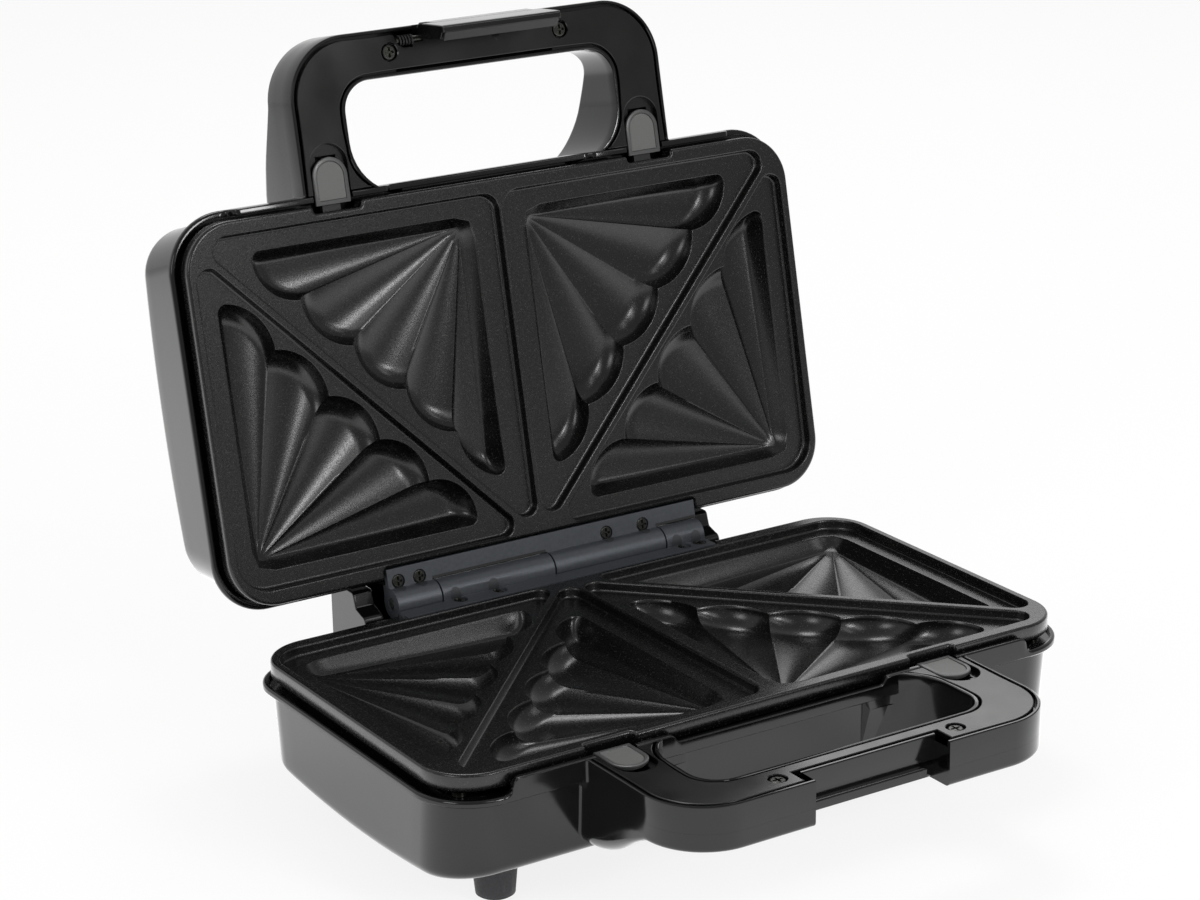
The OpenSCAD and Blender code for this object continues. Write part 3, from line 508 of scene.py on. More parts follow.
def landPatch(name):
    # pocket, land and the land's flank up to the rim, and the loop in which it ends
    points, outline = pocketGrid(triangles[name])
    outline = anticlockwise(outline)
    n = loopNormals(outline)
    drop = plate["landDrop"]
    lip = [atHeight(outline + n * off, -drop - low) for off, low in plate["lip"]]
    edge = landLoop(name)
    m = loopNormals(edge)
    flank = [atHeight(edge + m * off, z - drop) for off, z in plate["flankFoot"]]
    flank += [atHeight(edge + m * off, z) for off, z in plate["flankTop"]]
    land = flatFill([flank[0][:, :2], lip[-1][:, :2]], -drop)
    patch = (points.reshape(-1, 3), gridFaces(*points.shape[:2]))
    return joined([patch, ringStack(lip), land, ringStack(flank)]), flank[-1][:, :2]


def plateOutline():
    # rounded rectangle with a recess for the hinge leaf and one for each button
    x, y, r = plate["halfX"], plate["halfY"], plate["corner"]
    def notch(x0, x1, edgeY, depth, r):
        # corners of a recess, going round, each eased
        floor = edgeY - np.sign(edgeY) * depth
        chain = np.array([(2 * x0 - x1, edgeY), (x0, edgeY), (x0, floor), (x1, floor), (x1, edgeY),
                          (2 * x1 - x0, edgeY)], float)
        return np.concatenate([roundCorner(*chain[i:i + 3], r, 5) for i in range(4)])

    quarter = math.pi / 2
    wide, deep, eased = plate["hingeNotch"]
    near, far, *cut = plate["buttonNotch"]
    parts = [arcPoints((x - r, y - r), r, 0, quarter, 22), notch(wide, -wide, y, deep, eased),
             arcPoints((-x + r, y - r), r, quarter, 2 * quarter, 22),
             arcPoints((-x + r, -y + r), r, 2 * quarter, 3 * quarter, 22),
             notch(-far, -near, -y, *cut), notch(near, far, -y, *cut),
             arcPoints((x - r, -y + r), r, 3 * quarter, 4 * quarter, 22)]
    return np.concatenate(parts)


def cookingPlate():
    # four patches, mirrored in pairs, the flat rim between them, and the edge, skirt and underside
    parts, holes = [], []
    for name in triangles:
        (points, faces), loop = landPatch(name)
        for mirror in (1, -1):
            parts.append((points * [mirror, 1, 1], faces))
            holes.append(loop * [mirror, 1])
    outline = plateOutline()
    n = loopNormals(outline)
    flat = outline - n * (plate["edge"] + 0.25)    # the rim stays level a little inside its rounding
    parts.append(flatFill([flat] + holes, 0))
    rings = [atHeight(flat, 0)]
    for a in np.linspace(0, math.pi / 2, 7):       # quarter-round rim, then the skirt
        rings.append(atHeight(outline - n * plate["edge"] * (1 - math.sin(a)), -plate["edge"] * (1 - math.cos(a))))
    rings += [atHeight(outline, -plate["skirt"] + 0.4), atHeight(outline - n * 0.4, -plate["skirt"])]
    core = np.column_stack([np.clip(outline[:, 0], -plate["coreX"], plate["coreX"]), outline[:, 1] * 0])
    rings += [atHeight(outline * (1 - share) + core * share, z) for share, z in plate["under"]]
    parts.append(ringStack(rings))
    return joined(parts)


plateShape = cookingPlate()
for side in ("base", "lid"):
    makePiece(side + "CookingPlate", plateShape, side, finishes["nonstick"], [side + "_plate"], sharp=50)
print("plates made:", len(plateShape[1]), "faces each")

# housings
housing = {
    # drafts in degrees; grip and root: depth of the handle's bar and how much deeper it meets the wall
    "base": {"halfX": 136.6, "front": 73.1, "back": 72.9, "corner": 19.6, "cornerLow": 21.2, "sideDraft": 0.0,
             "frontDraft": 4.3, "depth": 46.2, "crown": 5.7, "fillet": 5.2, "grip": 20.5, "root": 16.8},
    "lid": {"halfX": 136.6, "front": 74.2, "back": 71.5, "corner": 17.0, "cornerLow": 18.0, "sideDraft": 0.4,
            "frontDraft": 6.0, "depth": 50.5, "crown": 6.4, "fillet": 7.5, "grip": 25.2, "root": 15.8},
    "seam": 11.7, "wall": 2.5, "crownAt": 75.0, "coreX": 70.0,
    "bay": (9.0, -15.6),                           # half width and top of the wall's cut under a button
}


def roundedLoop(x, front, back, r, rBack=None, stations=None):
    # rounded rectangle, anticlockwise from the back's right corner; stations give the points of the front side
    rBack = rBack or r
    quarter = math.pi / 2
    centres = [(x - rBack, back - rBack, rBack), (-x + rBack, back - rBack, rBack), (-x + r, -front + r, r),
               (x - r, -front + r, r)]
    arcs = [arcPoints((cx, cy), radius, i * quarter, (i + 1) * quarter, 16)
            for i, (cx, cy, radius) in enumerate(centres)]
    t = np.linspace(0, 1, 15)[1:-1, None]
    parts = []
    for i in range(4):
        side = arcs[i][-1] + (arcs[(i + 1) % 4][0] - arcs[i][-1]) * t
        if i == 2 and stations is not None:
            side = np.column_stack([stations, np.full(len(stations), -front)])
        parts += [arcs[i], side]
    return np.concatenate(parts)


def wallInset(h, z):
    # how far the front wall has drawn back at a height: drop below the seam * tan(draft)
    return np.clip(-z - housing["seam"], 0, None) * math.tan(math.radians(h["frontDraft"]))


def housingShell(h):
    # drafted walls whose corners open out downwards, a fillet, and a floor that is
    # crowned from front to back: depth = depth in the middle - crown * (y / crownAt)^2
    seam, wall, run = housing["seam"], housing["wall"], h["depth"] - housing["seam"]
    side, front = (run * math.tan(math.radians(h[k])) for k in ("sideDraft", "frontDraft"))
    top = roundedLoop(h["halfX"], h["front"], h["back"], h["corner"])
    low = roundedLoop(h["halfX"] - side, h["front"] - front, h["back"] - front, h["cornerLow"])
    n = loopNormals(top)
    r = h["fillet"]

    def floorZ(y):
        return -h["depth"] + h["crown"] * (y / housing["crownAt"]) ** 2

    def ring(z, inset):
        share = ((-z - seam) / run)[:, None]
        return np.column_stack([top + (low - top) * share - n * inset, z])

    bayHalf, bayTop = housing["bay"]
    bay = (np.abs(np.abs(top[:, 0]) - half["buttonX"]) < bayHalf) & (n[:, 1] < -0.9)
    high = np.where(bay, bayTop, -seam)
    bend = floorZ(low[:, 1] - n[:, 1] * r) + r
    rings = [ring(high + (bend - high) * t, 0) for t in np.linspace(0, 1, 9)]
    rings += [ring(bend, 0) * [1, 1, 0] + np.column_stack([-n * r * (1 - math.cos(a)), bend - r * math.sin(a)])
              for a in np.linspace(0, math.pi / 2, 10)[1:]]
    outside = rings[-1]
    core = np.column_stack([np.clip(top[:, 0], -housing["coreX"], housing["coreX"]), top[:, 1] * 0, top[:, 1] * 0])
    for t in (0.15, 0.35, 0.6, 0.8, 1):
        floor = outside + (core - outside) * t
        floor[:, 2] = floorZ(floor[:, 1])
        rings.append(floor)
    inner = ring(bend, wall)
    coreIn = core + [0, 0, wall - h["depth"]]
    return ringStack(rings[::-1] + [ring(high, wall), inner, inner + (coreIn - inner) * 0.5, coreIn])


# frames
lip = {
    "halfX": 140.0, "front": 77.3, "back": 76.0, "corner": 23.5, "backCorner": 20.5, "top": -8.6, "low": -10.7,
    "round": 1.1, "toe": -12.6, "overhang": 3.6, "gap": (138.0, 74.9, 74.6, 20.8), "ledge": -10.2,
    # height of the front edge from the middle outwards: low in the finger opening, cut down
    # under a button and again for its stem, and rounded off towards the corner
    "edge": [(0, -5.9), (44.2, -5.9), (45, -5.75), (45.8, -5.1), (46.6, -4.0), (47.5, -3.2), (48.6, -2.9),
             (62.7, -2.9), (62.8, -5.1), (66.6, -5.1), (66.7, -11.6), (75.7, -11.6), (75.8, -5.1), (79.6, -5.1),
             (79.7, -2.8), (110.4, -2.8), (111.4, -2.95), (112.3, -3.5), (113.0, -4.5), (113.4, -6.0),
             (113.7, -7.1), (114.4, -7.9), (115.3, -8.4), (116.4, -8.6)],
    # boxes: the pad under the hinge, and the trough of a button's spring with x from the button's middle
    "pad": (-72, 72, 69.8, 76, -12, -2.5),
    "trough": [(-6.3, 6.3, -99.4, -76.4, -14.8, -13.3), (-6.3, 6.3, -99.4, -98, -14.8, -7.2),
               (-6.3, -4.5, -99.4, -76.4, -14.8, -7.2), (4.5, 6.3, -99.4, -76.4, -14.8, -7.2)],
}


def plateFrame():
    # a rolled lip all round, the raised edge in front, the ledge below the plate, the pad
    # under the hinge and the troughs in which the buttons' springs lie
    steps = np.array(lip["edge"], float)
    stations = np.concatenate([-steps[::-1, 0], steps[1:, 0]])
    outer = roundedLoop(lip["halfX"], lip["front"], lip["back"], lip["corner"], lip["backCorner"], stations=stations)
    gapX, gapFront, gapBack, gapCorner = lip["gap"]
    inner = roundedLoop(gapX, gapFront, gapBack, gapCorner, stations=stations)
    n = loopNormals(outer)
    m = loopNormals(inner)
    front = outer[:, 1] < -lip["front"] + 1e-6
    top = np.where(front, np.interp(np.abs(outer[:, 0]), steps[:, 0], steps[:, 1]), lip["top"])
    r = np.where(top > -7, 0.6, lip["round"])[:, None]
    over = (lip["overhang"] + 0.9 * np.clip(-n[:, 1], 0, 1))[:, None]
    rings = [(inner - m * 6, lip["toe"]), (inner - m * 6, lip["ledge"]), (inner, lip["ledge"]), (inner, top - 0.25),
             (inner + m * 0.25, top), (outer - n * r, top)]
    for a in np.radians([30, 60, 90]):
        rings.append((outer - n * r * (1 - math.sin(a)), top - r[:, 0] * (1 - math.cos(a))))
    rings += [(outer, lip["low"]), (outer - n * 0.45, lip["low"] - 0.55), (outer - n * over, lip["toe"])]
    rings = [np.column_stack([xy, np.minimum(z, np.where(z == lip["toe"], z, top))]) for xy, z in rings]
    extents = [lip["pad"]] + [(x + x0, x + x1, *rest) for x in (-half["buttonX"], half["buttonX"])
                              for x0, x1, *rest in lip["trough"]]
    return joined([ringStack(rings + rings[:1]), boxes(extents)])


# handles
handle = {
    "halfX": 83.5, "front": 136.8, "corner": 25.0, "openX": 60.8, "openFront": 118.2, "openCorner": 11.5,
    "flare": 22.0, "root": 1.1, "top": 3.0, "draft": 0.6,
    "swell": (-113.0, 41.0, 1.3),                  # where the underside starts to drop, over how far, and the power
    "fillet": (2.0, 3.2, -106.0, 22.0),            # lower edge: radius, what is added, from where and over how far
    "backTop": -11.5,                              # above this height the outside follows the frame's front
    "pitFront": -99.8, "pitLow": -15.3,            # behind this line the floor under the cover drops for the springs
    "rimBack": -75.5, "sunk": 0.4,
    # x of each step of the notch, then for each zone and class how far forward and how high it may stand
    "base": ([30.6, 29, 24.3],
             [{"pit": (-136.8, -3.0)},
              {"low": (-127, 0), "lip": (-127.2, 0), "back": (-127.4, 0), "rim": (-128.7, 0), "pit": (-128.7, -5.6)},
              {"low": (-127, 0), "lip": (-130, 0), "back": (-127.4, 0), "rim": (-128.7, 0), "pit": (-128.7, -5.6)}]),
    "lid": ([35.5, 27.6],
            [{"pit": (-135.2, -9.3)}, {"back": (-129.6, -9.3), "rim": (-129.6, -9.3), "pit": (-129.6, -9.3)}]),
}


def handleBottom(y, h):
    # underside: level below the bar, then root * sin(t * 90)^power deeper by the time it meets the body
    start, run, power = handle["swell"]
    return -h["grip"] - h["root"] * np.sin(np.clip((y - start) / run, 0, 1) * math.pi / 2) ** power


def handlePaths(cuts, wallY):
    # outer and inner edges of the right half of the U, matched point for point from root to middle
    h = handle
    rootY = wallY - h["root"]
    flareY = wallY - h["flare"] + 0.4
    outer = [arcPoints((h["halfX"] + h["root"], rootY), h["root"], math.pi / 2, math.pi, 12)]
    inner = [arcPoints((h["openX"] - h["flare"], flareY), h["flare"], math.pi / 2, 0, 12)]
    t = np.linspace(0, 1, 9)[1:, None]
    cy, ciy = -h["front"] + h["corner"], -h["openFront"] + h["openCorner"]
    outer.append(np.array([h["halfX"], rootY]) + np.array([0, cy - rootY]) * t)
    inner.append(np.array([h["openX"], flareY]) + np.array([0, ciy - flareY]) * t)
    outer.append(arcPoints((h["halfX"] - h["corner"], cy), h["corner"], 0, -math.pi / 2, 26)[1:])
    inner.append(arcPoints((h["openX"] - h["openCorner"], ciy), h["openCorner"], 0, -math.pi / 2, 26)[1:])
    xs = [h["halfX"] - h["corner"], h["openX"] - h["openCorner"]]
    bar = np.linspace(1, 0, 5)[1:, None]
    outer.append(np.column_stack([cuts[0] + (xs[0] - cuts[0]) * bar, bar * 0 - h["front"]]))
    inner.append(np.column_stack([cuts[0] + (xs[1] - cuts[0]) * bar, bar * 0 - h["openFront"]]))
    zone = [0] * sum(len(o) for o in outer)
    for k, cut in enumerate(cuts):                 # two stations at each step of the notch
        x = np.linspace(cut, cuts[k + 1] if k + 1 < len(cuts) else 0, 4)
        outer.append(np.column_stack([x, x * 0 - h["front"]]))
        inner.append(np.column_stack([x, x * 0 - h["openFront"]]))
        zone += [k + 1] * 4
    outer, inner = np.concatenate(outer), np.concatenate(inner)
    flip = np.array([-1, 1])
    return (np.concatenate([outer, outer[::-1][1:] * flip]), np.concatenate([inner, inner[::-1][1:] * flip]),
            np.array(zone + zone[::-1][1:]))


def handleRows(r):
    # a closed section: (edge, inset, height is from, height, class); edge 0 is the opening's
    # side and 1 the outside; r is the outer fillet at each station
    rows = [(0, 1.75, "top", -2.6, "floor"), (0, 1.6, "top", -0.25, "floor"), (0, 1.4, "top", 0, ""),
            (0, 0.7, "top", 0, ""), (0, 0.2, "top", -0.15, ""), (0, 0, "top", -0.6, ""),
            (0, 0.1, "level", -8, ""), (0, 0.3, "bottom", 2.0, "")]
    rows += [(0, 0.3 + 1.6 * (1 - math.cos(a)), "bottom", 1.6 - 1.6 * math.sin(a), "")
             for a in np.linspace(0.3, math.pi / 2, 5)]
    rows += [(1, r * (1 - math.cos(a)), "bottom", r - r * math.sin(a), "low") for a in np.linspace(math.pi / 2, 0, 8)]
    rows += [(1, 0, "level", -17.8, "low"), (1, 0, "level", -17.8, "lip"), (1, 0, "level", -15.0, "lip"),
             (1, 0.2, "level", -14.4, "lip"), (1, 0.8, "level", -13.75, "lip"), (1, 1.6, "level", -13.4, "lip"),
             (1, 2.7, "level", -13.15, "lip"),
             (1, 0, "level", -13.2, "back"), (1, 0, "level", -11.95, "back"), (1, 0, "level", -11.4, "back")]
    return rows + [(1, 0.05, "top", -0.9, "rim"), (1, 0.2, "top", -0.3, "rim"), (1, 0.6, "top", 0, "rim"),
                   (1, 1.3, "top", 0, "rim"), (1, 1.5, "top", -0.25, "rim"), (1, 1.6, "top", -2.6, "pit"),
                   (1, 8.5, "top", -2.6, "pit")]


def handleLoop(side):
    # the section of handleRows carried along both paths, held back in the notch and blended into the walls
    h, (cuts, limits) = housing[side], handle[side]
    outer, inner, zone = handlePaths(cuts, -h["front"])
    radius, more, start, run = handle["fillet"]
    r = radius + more * np.clip((outer[:, 1] - start) / run, 0, 1)
    draft = math.tan(math.radians(handle["draft"]))
    across = outer - inner
    across = across / np.linalg.norm(across, axis=1)[:, None]
    rings = []
    for edge, inset, ref, dz, kind in handleRows(r):
        base, sign = (outer, -1) if edge else (inner, 1)
        z = np.full(len(base), dz - handle["top"] * (ref == "top"))
        if ref == "bottom":
            z = handleBottom(base[:, 1], h) + dz
        drop = np.clip(-z - handle["top"], 0, None) * draft * edge
        xy = base + sign * across * (drop + (inset if kind != "lip" else 0))[:, None]
        near = np.clip((base[:, 1] + h["front"] + handle["flare"]) / handle["flare"], 0, 1) ** 2
        over = near * (h["front"] - lip["front"]) * edge
        y = xy[:, 1] + np.where(z > handle["backTop"], over, near * wallInset(h, z))
        if ref == "top" and not edge:              # the opening's rim ends inside the frame's raised edge
            sunk = np.interp(np.abs(xy[:, 0]), *np.array(lip["edge"]).T) - handle["sunk"]
            z = np.where(y > -lip["front"] - 0.1, np.minimum(z, sunk), z)
            y = np.minimum(y, handle["rimBack"])
        for k, limit in enumerate(limits):
            if kind in limit:
                stop, level = limit[kind]
                y = np.where(zone == k + 1, np.maximum(y, stop + inset), y)
                z = np.where(zone == k + 1, np.minimum(z, level), z)
        if kind in ("floor", "pit") and dz == -2.6:
            z = np.where((base[:, 1] > handle["pitFront"]) & (z > handle["pitLow"]), handle["pitLow"], z)
        rings.append(np.column_stack([xy[:, 0], y, z]))
    return loft(np.array(rings).transpose(1, 0, 2))    # station by section point


def capLoop(x, r, y, top, slot=0.0, slotY=0.0):
    # outline of a capsule that opens on the line y = top, or with a slot cut into it
    arc = arcPoints((x, y), r, math.pi, 2 * math.pi, 18)
    loop = np.concatenate([[(x - r, top)], arc, [(x + r, top)]])
    if slot:
        loop = np.concatenate([loop, [(x + slot, top), (x + slot, slotY), (x - slot, slotY), (x - slot, top)]])
    return loop


def slabPiece(loop, holes, low, high, ease):
    # a flat piece with its upper edges eased; holes are (x, y, radius)
    loop = anticlockwise(loop)
    n = loopNormals(loop)
    rings = [atHeight(loop, low), atHeight(loop, high - ease), atHeight(loop - n * ease * 0.3, high - ease * 0.3),
             atHeight(loop - n * ease, high)]
    parts = [ringStack(rings)]
    tops, bottoms = [rings[-1][:, :2]], [loop]
    for x, y, radius in holes:
        hole = [arcPoints((x, y), radius + grow, 0, 2 * math.pi, 33)[:-1] for grow in (0, 0, ease)]
        parts.append(ringStack([atHeight(hole[0], low), atHeight(hole[1], high - ease), atHeight(hole[2], high)]))
        tops.append(hole[2])
        bottoms.append(hole[0])
    return joined(parts + [flatFill(tops, high), flatFill(bottoms, low)])


cover = {
    "edge": 2.7, "openEdge": 2.6, "root": -77.6, "high": -3.0, "low": -5.2, "dish": 8.0, "dishY": -88.6,
    "bayLow": -6.3, "bayMore": 0.4, "slot": (4.4, -92.0), "screwX": 38.6, "screwY": -127.6, "screwHole": 3.5,
    # front limit in y along x, round the notch
    "base": [(-32, -140), (-31.95, -125.6), (31.95, -125.6), (32, -140)],
    "lid": [(-37.2, -140), (-36.4, -135.2), (-35.4, -132.2), (-34, -129.8), (-32, -128.7), (-28.3, -128.6),
            (-28.1, -130.4), (26.4, -130.4), (26.5, -140)],
}


def handleCover(side):
    # the inlay: both paths drawn in, kept clear of the notch, with a bay round each button
    c, stops, x = cover, cover[side], half["buttonX"]
    outer, inner, _ = handlePaths(sorted({abs(x) for x, y in stops}, reverse=True), -housing[side]["front"])
    across = outer - inner
    across = across / np.linalg.norm(across, axis=1)[:, None]
    edges = []
    for path, inset in ((outer, -c["edge"]), (inner, c["openEdge"])):
        path = path + across * inset
        path[:, 1] = np.maximum(path[:, 1], np.interp(path[:, 0], *np.array(stops).T))
        kept = np.where(path[:, 1] < c["root"])[0]
        i, j = kept[0], kept[-1]
        ends = [[(np.interp(c["root"], path[[b, a], 1], path[[b, a], 0]), c["root"])]
                for a, b in ((i - 1, i), (j + 1, j))]
        edges.append(np.concatenate([ends[0], path[i:j + 1], ends[1]]))
    right, left = (capLoop(s * x, c["dish"], c["dishY"], c["root"]) for s in (1, -1))
    loop = np.concatenate([edges[0], left, edges[1][::-1], right])
    holes = [(s * c["screwX"], c["screwY"], c["screwHole"]) for s in (-1, 1)]
    parts = [slabPiece(loop, holes, c["low"], c["high"], 0.3)]
    for s in (-1, 1):                              # floor of a button's bay, slotted for the stem
        floor = capLoop(s * x, c["dish"] + c["bayMore"], c["dishY"], c["root"], *c["slot"])
        parts.append(slabPiece(floor, [], c["bayLow"], c["low"] + 0.05, 0.05))
    return joined(parts)


footSeat = {"x": 106.0, "y": -50.0, "r": 8.9, "low": -44.6, "high": -42.6}
for side in ("base", "lid"):
    makePiece(side + "Housing", housingShell(housing[side]), side, finishes["housing"], [side + "_shell"], sharp=40)
    makePiece(side + "Frame", plateFrame(), side, finishes["frame"], [side + "_frame"], sharp=35)
seats = [slabPiece(arcPoints((x, footSeat["y"]), footSeat["r"], 0, 2 * math.pi, 49)[:-1], [], footSeat["low"],
                   footSeat["high"], 0.2) for x in (-footSeat["x"], footSeat["x"])]
makePiece("baseFootSeats", joined(seats), "base", finishes["housing"], ["base_shell"], sharp=40)
for side in ("base", "lid"):
    makePiece(side + "Handle", handleLoop(side), side, finishes["housing"], [side + "_shell"])
for side in ("base", "lid"):
    makePiece(side + "HandleCover", handleCover(side), side, finishes["inlay"], [side + "_handle_cover"], sharp=15)
print("housings, frames and handles made")

# hinge housing
hump = {
    "halfX": 83.5, "cheek": 8.5, "back": 112.0, "top": 5.4, "bottom": -44.5, "start": (68, -40.6), "floorFrom": 84.0,
    # corners: radius, and the cheek's steps in y and z down to where the lid turns
    "lowCorner": 8.0, "highCorner": 5.0, "frontEdge": (94.5, 2.0), "step": (91, -0.5), "hollow": (86.5, -5, 3),
    "cheekFront": [(83.5, -14), (70, -14)],
    "boxTop": 1.5, "boxLedge": [(108, 1.5), (108, -11), (70, -11)],
}


def humpPieces():
    # two cheeks and the box between them, each an outline in y and z carried along x
    h, r = hump, math.radians
    low, high = h["lowCorner"], h["highCorner"]
    edgeY, edgeR = h["frontEdge"]
    hollowY, hollowZ, hollowR = h["hollow"]
    under = np.concatenate([[h["start"], (h["floorFrom"], h["bottom"])],
                            arcPoints((h["back"] - low, h["bottom"] + low), low, r(-90), 0, 9)])
    cheek = np.concatenate([under, arcPoints((h["back"] - high, h["top"] - high), high, 0, r(90), 9),
                            arcPoints((edgeY, h["top"] - edgeR), edgeR, r(90), r(160), 6), [h["step"]],
                            arcPoints((hollowY, hollowZ), hollowR, r(90), r(180), 6), h["cheekFront"]])
    box = np.concatenate([under, [(h["back"], h["boxTop"])], h["boxLedge"]])
    inner = h["halfX"] - h["cheek"]
    return {"HingeCheekLeft": prism(cheek, -h["halfX"], -inner), "HingeCheekRight": prism(cheek, inner, h["halfX"]),
            "HingeBox": prism(box, -inner - 0.2, inner + 0.2)}


for name, shape in humpPieces().items():
    makePiece("base" + name, shape, "base", finishes["housing"], ["base_shell"], edge=0.7)
print("hinge housing made")

# screws, buttons, latch and marks
screw = {"arm": 0.7, "armHalf": 0.17, "taper": 0.75, "recess": 1.0, "rim": 0.95, "crown": 0.82, "shank": 1.1,
         "head": 1.1, "length": 9.0}


def crossScrew(x, y, top, r):
    # a domed head with a cross-shaped recess, and its shank; widths are shares of the head's radius
    def disc(radius, z):
        return atHeight(arcPoints((x, y), radius, 0, 2 * math.pi, 33)[:-1], z)

    k = screw
    arm, halfWidth = r * k["arm"], r * k["armHalf"]
    corner = np.array([(arm, -halfWidth), (arm, halfWidth), (halfWidth, halfWidth)])
    quarters = [corner @ np.array([(c, s), (-s, c)]) for c, s in ((1, 0), (0, 1), (-1, 0), (0, -1))]
    centre = np.array([x, y])
    cross = np.concatenate(quarters) + centre
    foot = centre + (cross - centre) * k["taper"]
    neck, crown, low = top - k["head"], r * k["crown"], top - k["length"]
    head = ringStack([disc(0.01, low), disc(k["shank"], low), disc(k["shank"], neck), disc(r, neck),
                      disc(r, top - 0.35), disc(r * k["rim"], top - 0.15), disc(crown, top)])
    recess = ringStack([atHeight(cross, top), atHeight(foot, top - k["recess"])])
    return joined([head, flatFill([disc(crown, 0)[:, :2], cross], top), recess, flatFill([foot], top - k["recess"])])


screws = {  # piece: its side, its node, x and y of its heads, their height and radius
    "baseCoverScrews": ("base", "base_cover_screws", [(-38.6, -127.6), (38.6, -127.6)], -3.45, 2.85),
    "lidCoverScrews": ("lid", "lid_cover_screws", [(-38.6, -127.6), (38.6, -127.6)], -3.45, 2.85),
    "baseHingeScrews": ("base", "base_hinge_screws", [(x, 75.1) for x in (-46.2, -28.9, 58, 67.3)], -0.1, 2.6),
    "lidHingeScrews": ("lid", "lid_hinge_screws", [(x, 75.1) for x in (-67.4, -57.9, 28.8, 46.3)], -0.1, 2.6),
}
for name, (side, node, places, top, r) in screws.items():
    shape = joined([crossScrew(x, y, top, r) for x, y in places])
    makePiece(name, shape, side, finishes["blackScrew"], [node], sharp=15)

button = {
    "halfX": 7.5, "front": -84.0, "back": -73.4, "top": -2.9, "low": -4.7, "border": 1.7,
    # boxes with x from the button's middle: the stem that its spring pushes, and the tongue that holds the plate
    "stem": (-4, 4, -83, -74, -12, -4.3), "tongue": (-4, 4, -75, -69.8, -7.5, -5.4),
}


def buttonLoop(x, inset):
    # straight at the back and half round in front
    b = button
    r = b["halfX"] - inset
    return np.concatenate([[(x + r, b["back"] - inset)], [(x - r, b["back"] - inset)],
                           arcPoints((x, b["front"]), r, math.pi, 2 * math.pi, 25)])


def buttonRim(x):
    # the raised border and the side that turns under
    b = button
    rings = [(b["border"], b["low"]), (b["border"], b["top"] - 0.25), (b["border"] - 0.2, b["top"]), (0.45, b["top"]),
             (0.12, b["top"] - 0.12), (0, b["top"] - 0.4), (0, b["top"] - 0.8), (0.8, b["top"] - 1.1), (0.8, b["low"])]
    return ringStack([atHeight(buttonLoop(x, inset), z) for inset, z in rings + rings[:1]])


for side in ("base", "lid"):
    for name, x in (("Left", -half["buttonX"]), ("Right", half["buttonX"])):
        node = f"{side}_button_{name.lower()}"
        body = frame["nodes"][node]["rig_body"]
        panel = slabPiece(buttonLoop(x, button["border"] + 0.05), [], button["low"], button["top"] - 0.3, 0.1)
        stem = boxes([(x + x0, x + x1, *rest) for x0, x1, *rest in (button["stem"], button["tongue"])])
        name = side + "Button" + name
        makePiece(name, buttonRim(x), side, finishes["buttonRim"], [node], body, sharp=40)
        makePiece(name + "Panel", panel, side, finishes["button"], [node], body, sharp=15)
        # the stem and the tongue are black as painted shade: they show only in the dark gap under the button
        makePiece(name + "Stem", stem, side, finishes["printAndShade"], [node], body, 0.2, 40)

latch = {
    "rootX": 23.0, "gripX": 26.4, "hookX": 25.4, "shift": -1.15,
    # side views in y and z: the root with its barrel, the wider grip, and the hook inside its tip
    "root": [(-130.1, -4), (-130.1, -2), (-130.4, 1), (-130.4, 8), (-136.72, 8), (-137.4, 2), (-137.4, -3.5),
             (-135.1, -6.6), (-131.5, -6.6)],
    "grip": [(-130.42, 5), (-130.42, 18.5), (-132.45, 20), (-132.45, 21.4), (-134.8, 21.4), (-135.3, 20.6),
             (-136.7, 7.9), (-136.9, 5)],
    "hook": [(-132.5, 18.9), (-129.5, 18.9), (-129.5, 19.3), (-132.5, 21.1)],
}
latchRoot, latchGrip, latchHook = (prism(latch[k], latch["shift"] - latch[k + "X"], latch["shift"] + latch[k + "X"])
                                   for k in ("root", "grip", "hook"))
latchBody = frame["nodes"]["latch"]["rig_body"]
makePiece("latchGrip", joined([latchRoot, latchGrip]), "lid", finishes["latch"], ["latch"], latchBody, 0.4, 18)
# the hook is matt black as painted shade: it reads as the dark band under the latch's grip
makePiece("latchHook", latchHook, "lid", finishes["printAndShade"], ["latch"], latchBody, 0.1, 18)

# triangles that show where the latch closes: one on the lid's cover, and one upright on the base's catch
marks = {
    "lid": [(6.9, -129.2), (11.1, -129.2), (9.0, -126.7)], "lidHeights": (-3.3, -2.96),
    "base": [(19.6, -14.9), (22.8, -14.9), (21.6, -17.2)], "baseHeights": (0, 0.3), "catchY": -129.75,
}
shape = slabPiece(np.array(marks["lid"]), [], *marks["lidHeights"], 0.02)
makePiece("lidMark", shape, "lid", finishes["printAndShade"], ["lid_handle_cover"], sharp=35)
points, faces = slabPiece(np.array(marks["base"]), [], *marks["baseHeights"], 0.02)
shape = (points[:, [0, 2, 1]] * [1, -1, 1] + [0, marks["catchY"], 0], faces)
makePiece("baseMark", shape, "base", finishes["printAndShade"], ["base_shell"], sharp=35)

barrel = {
    "r": 6.0, "outer": 6.05, "inner": 5.6, "clearance": 3.4, "screwOff": 8.4, "reach": 2.35, "from": -0.3,
    "axis": {"base": 1.0, "lid": 0.0},
    # painted shade: black boxes stand in for the shaded slots above the base's knuckles
    "gapShades": [(-52.4, -0.4, 76.05, 77.15, -0.4, 0.05), (52.4, 71.8, 76.05, 77.15, -0.4, 0.05)],
}


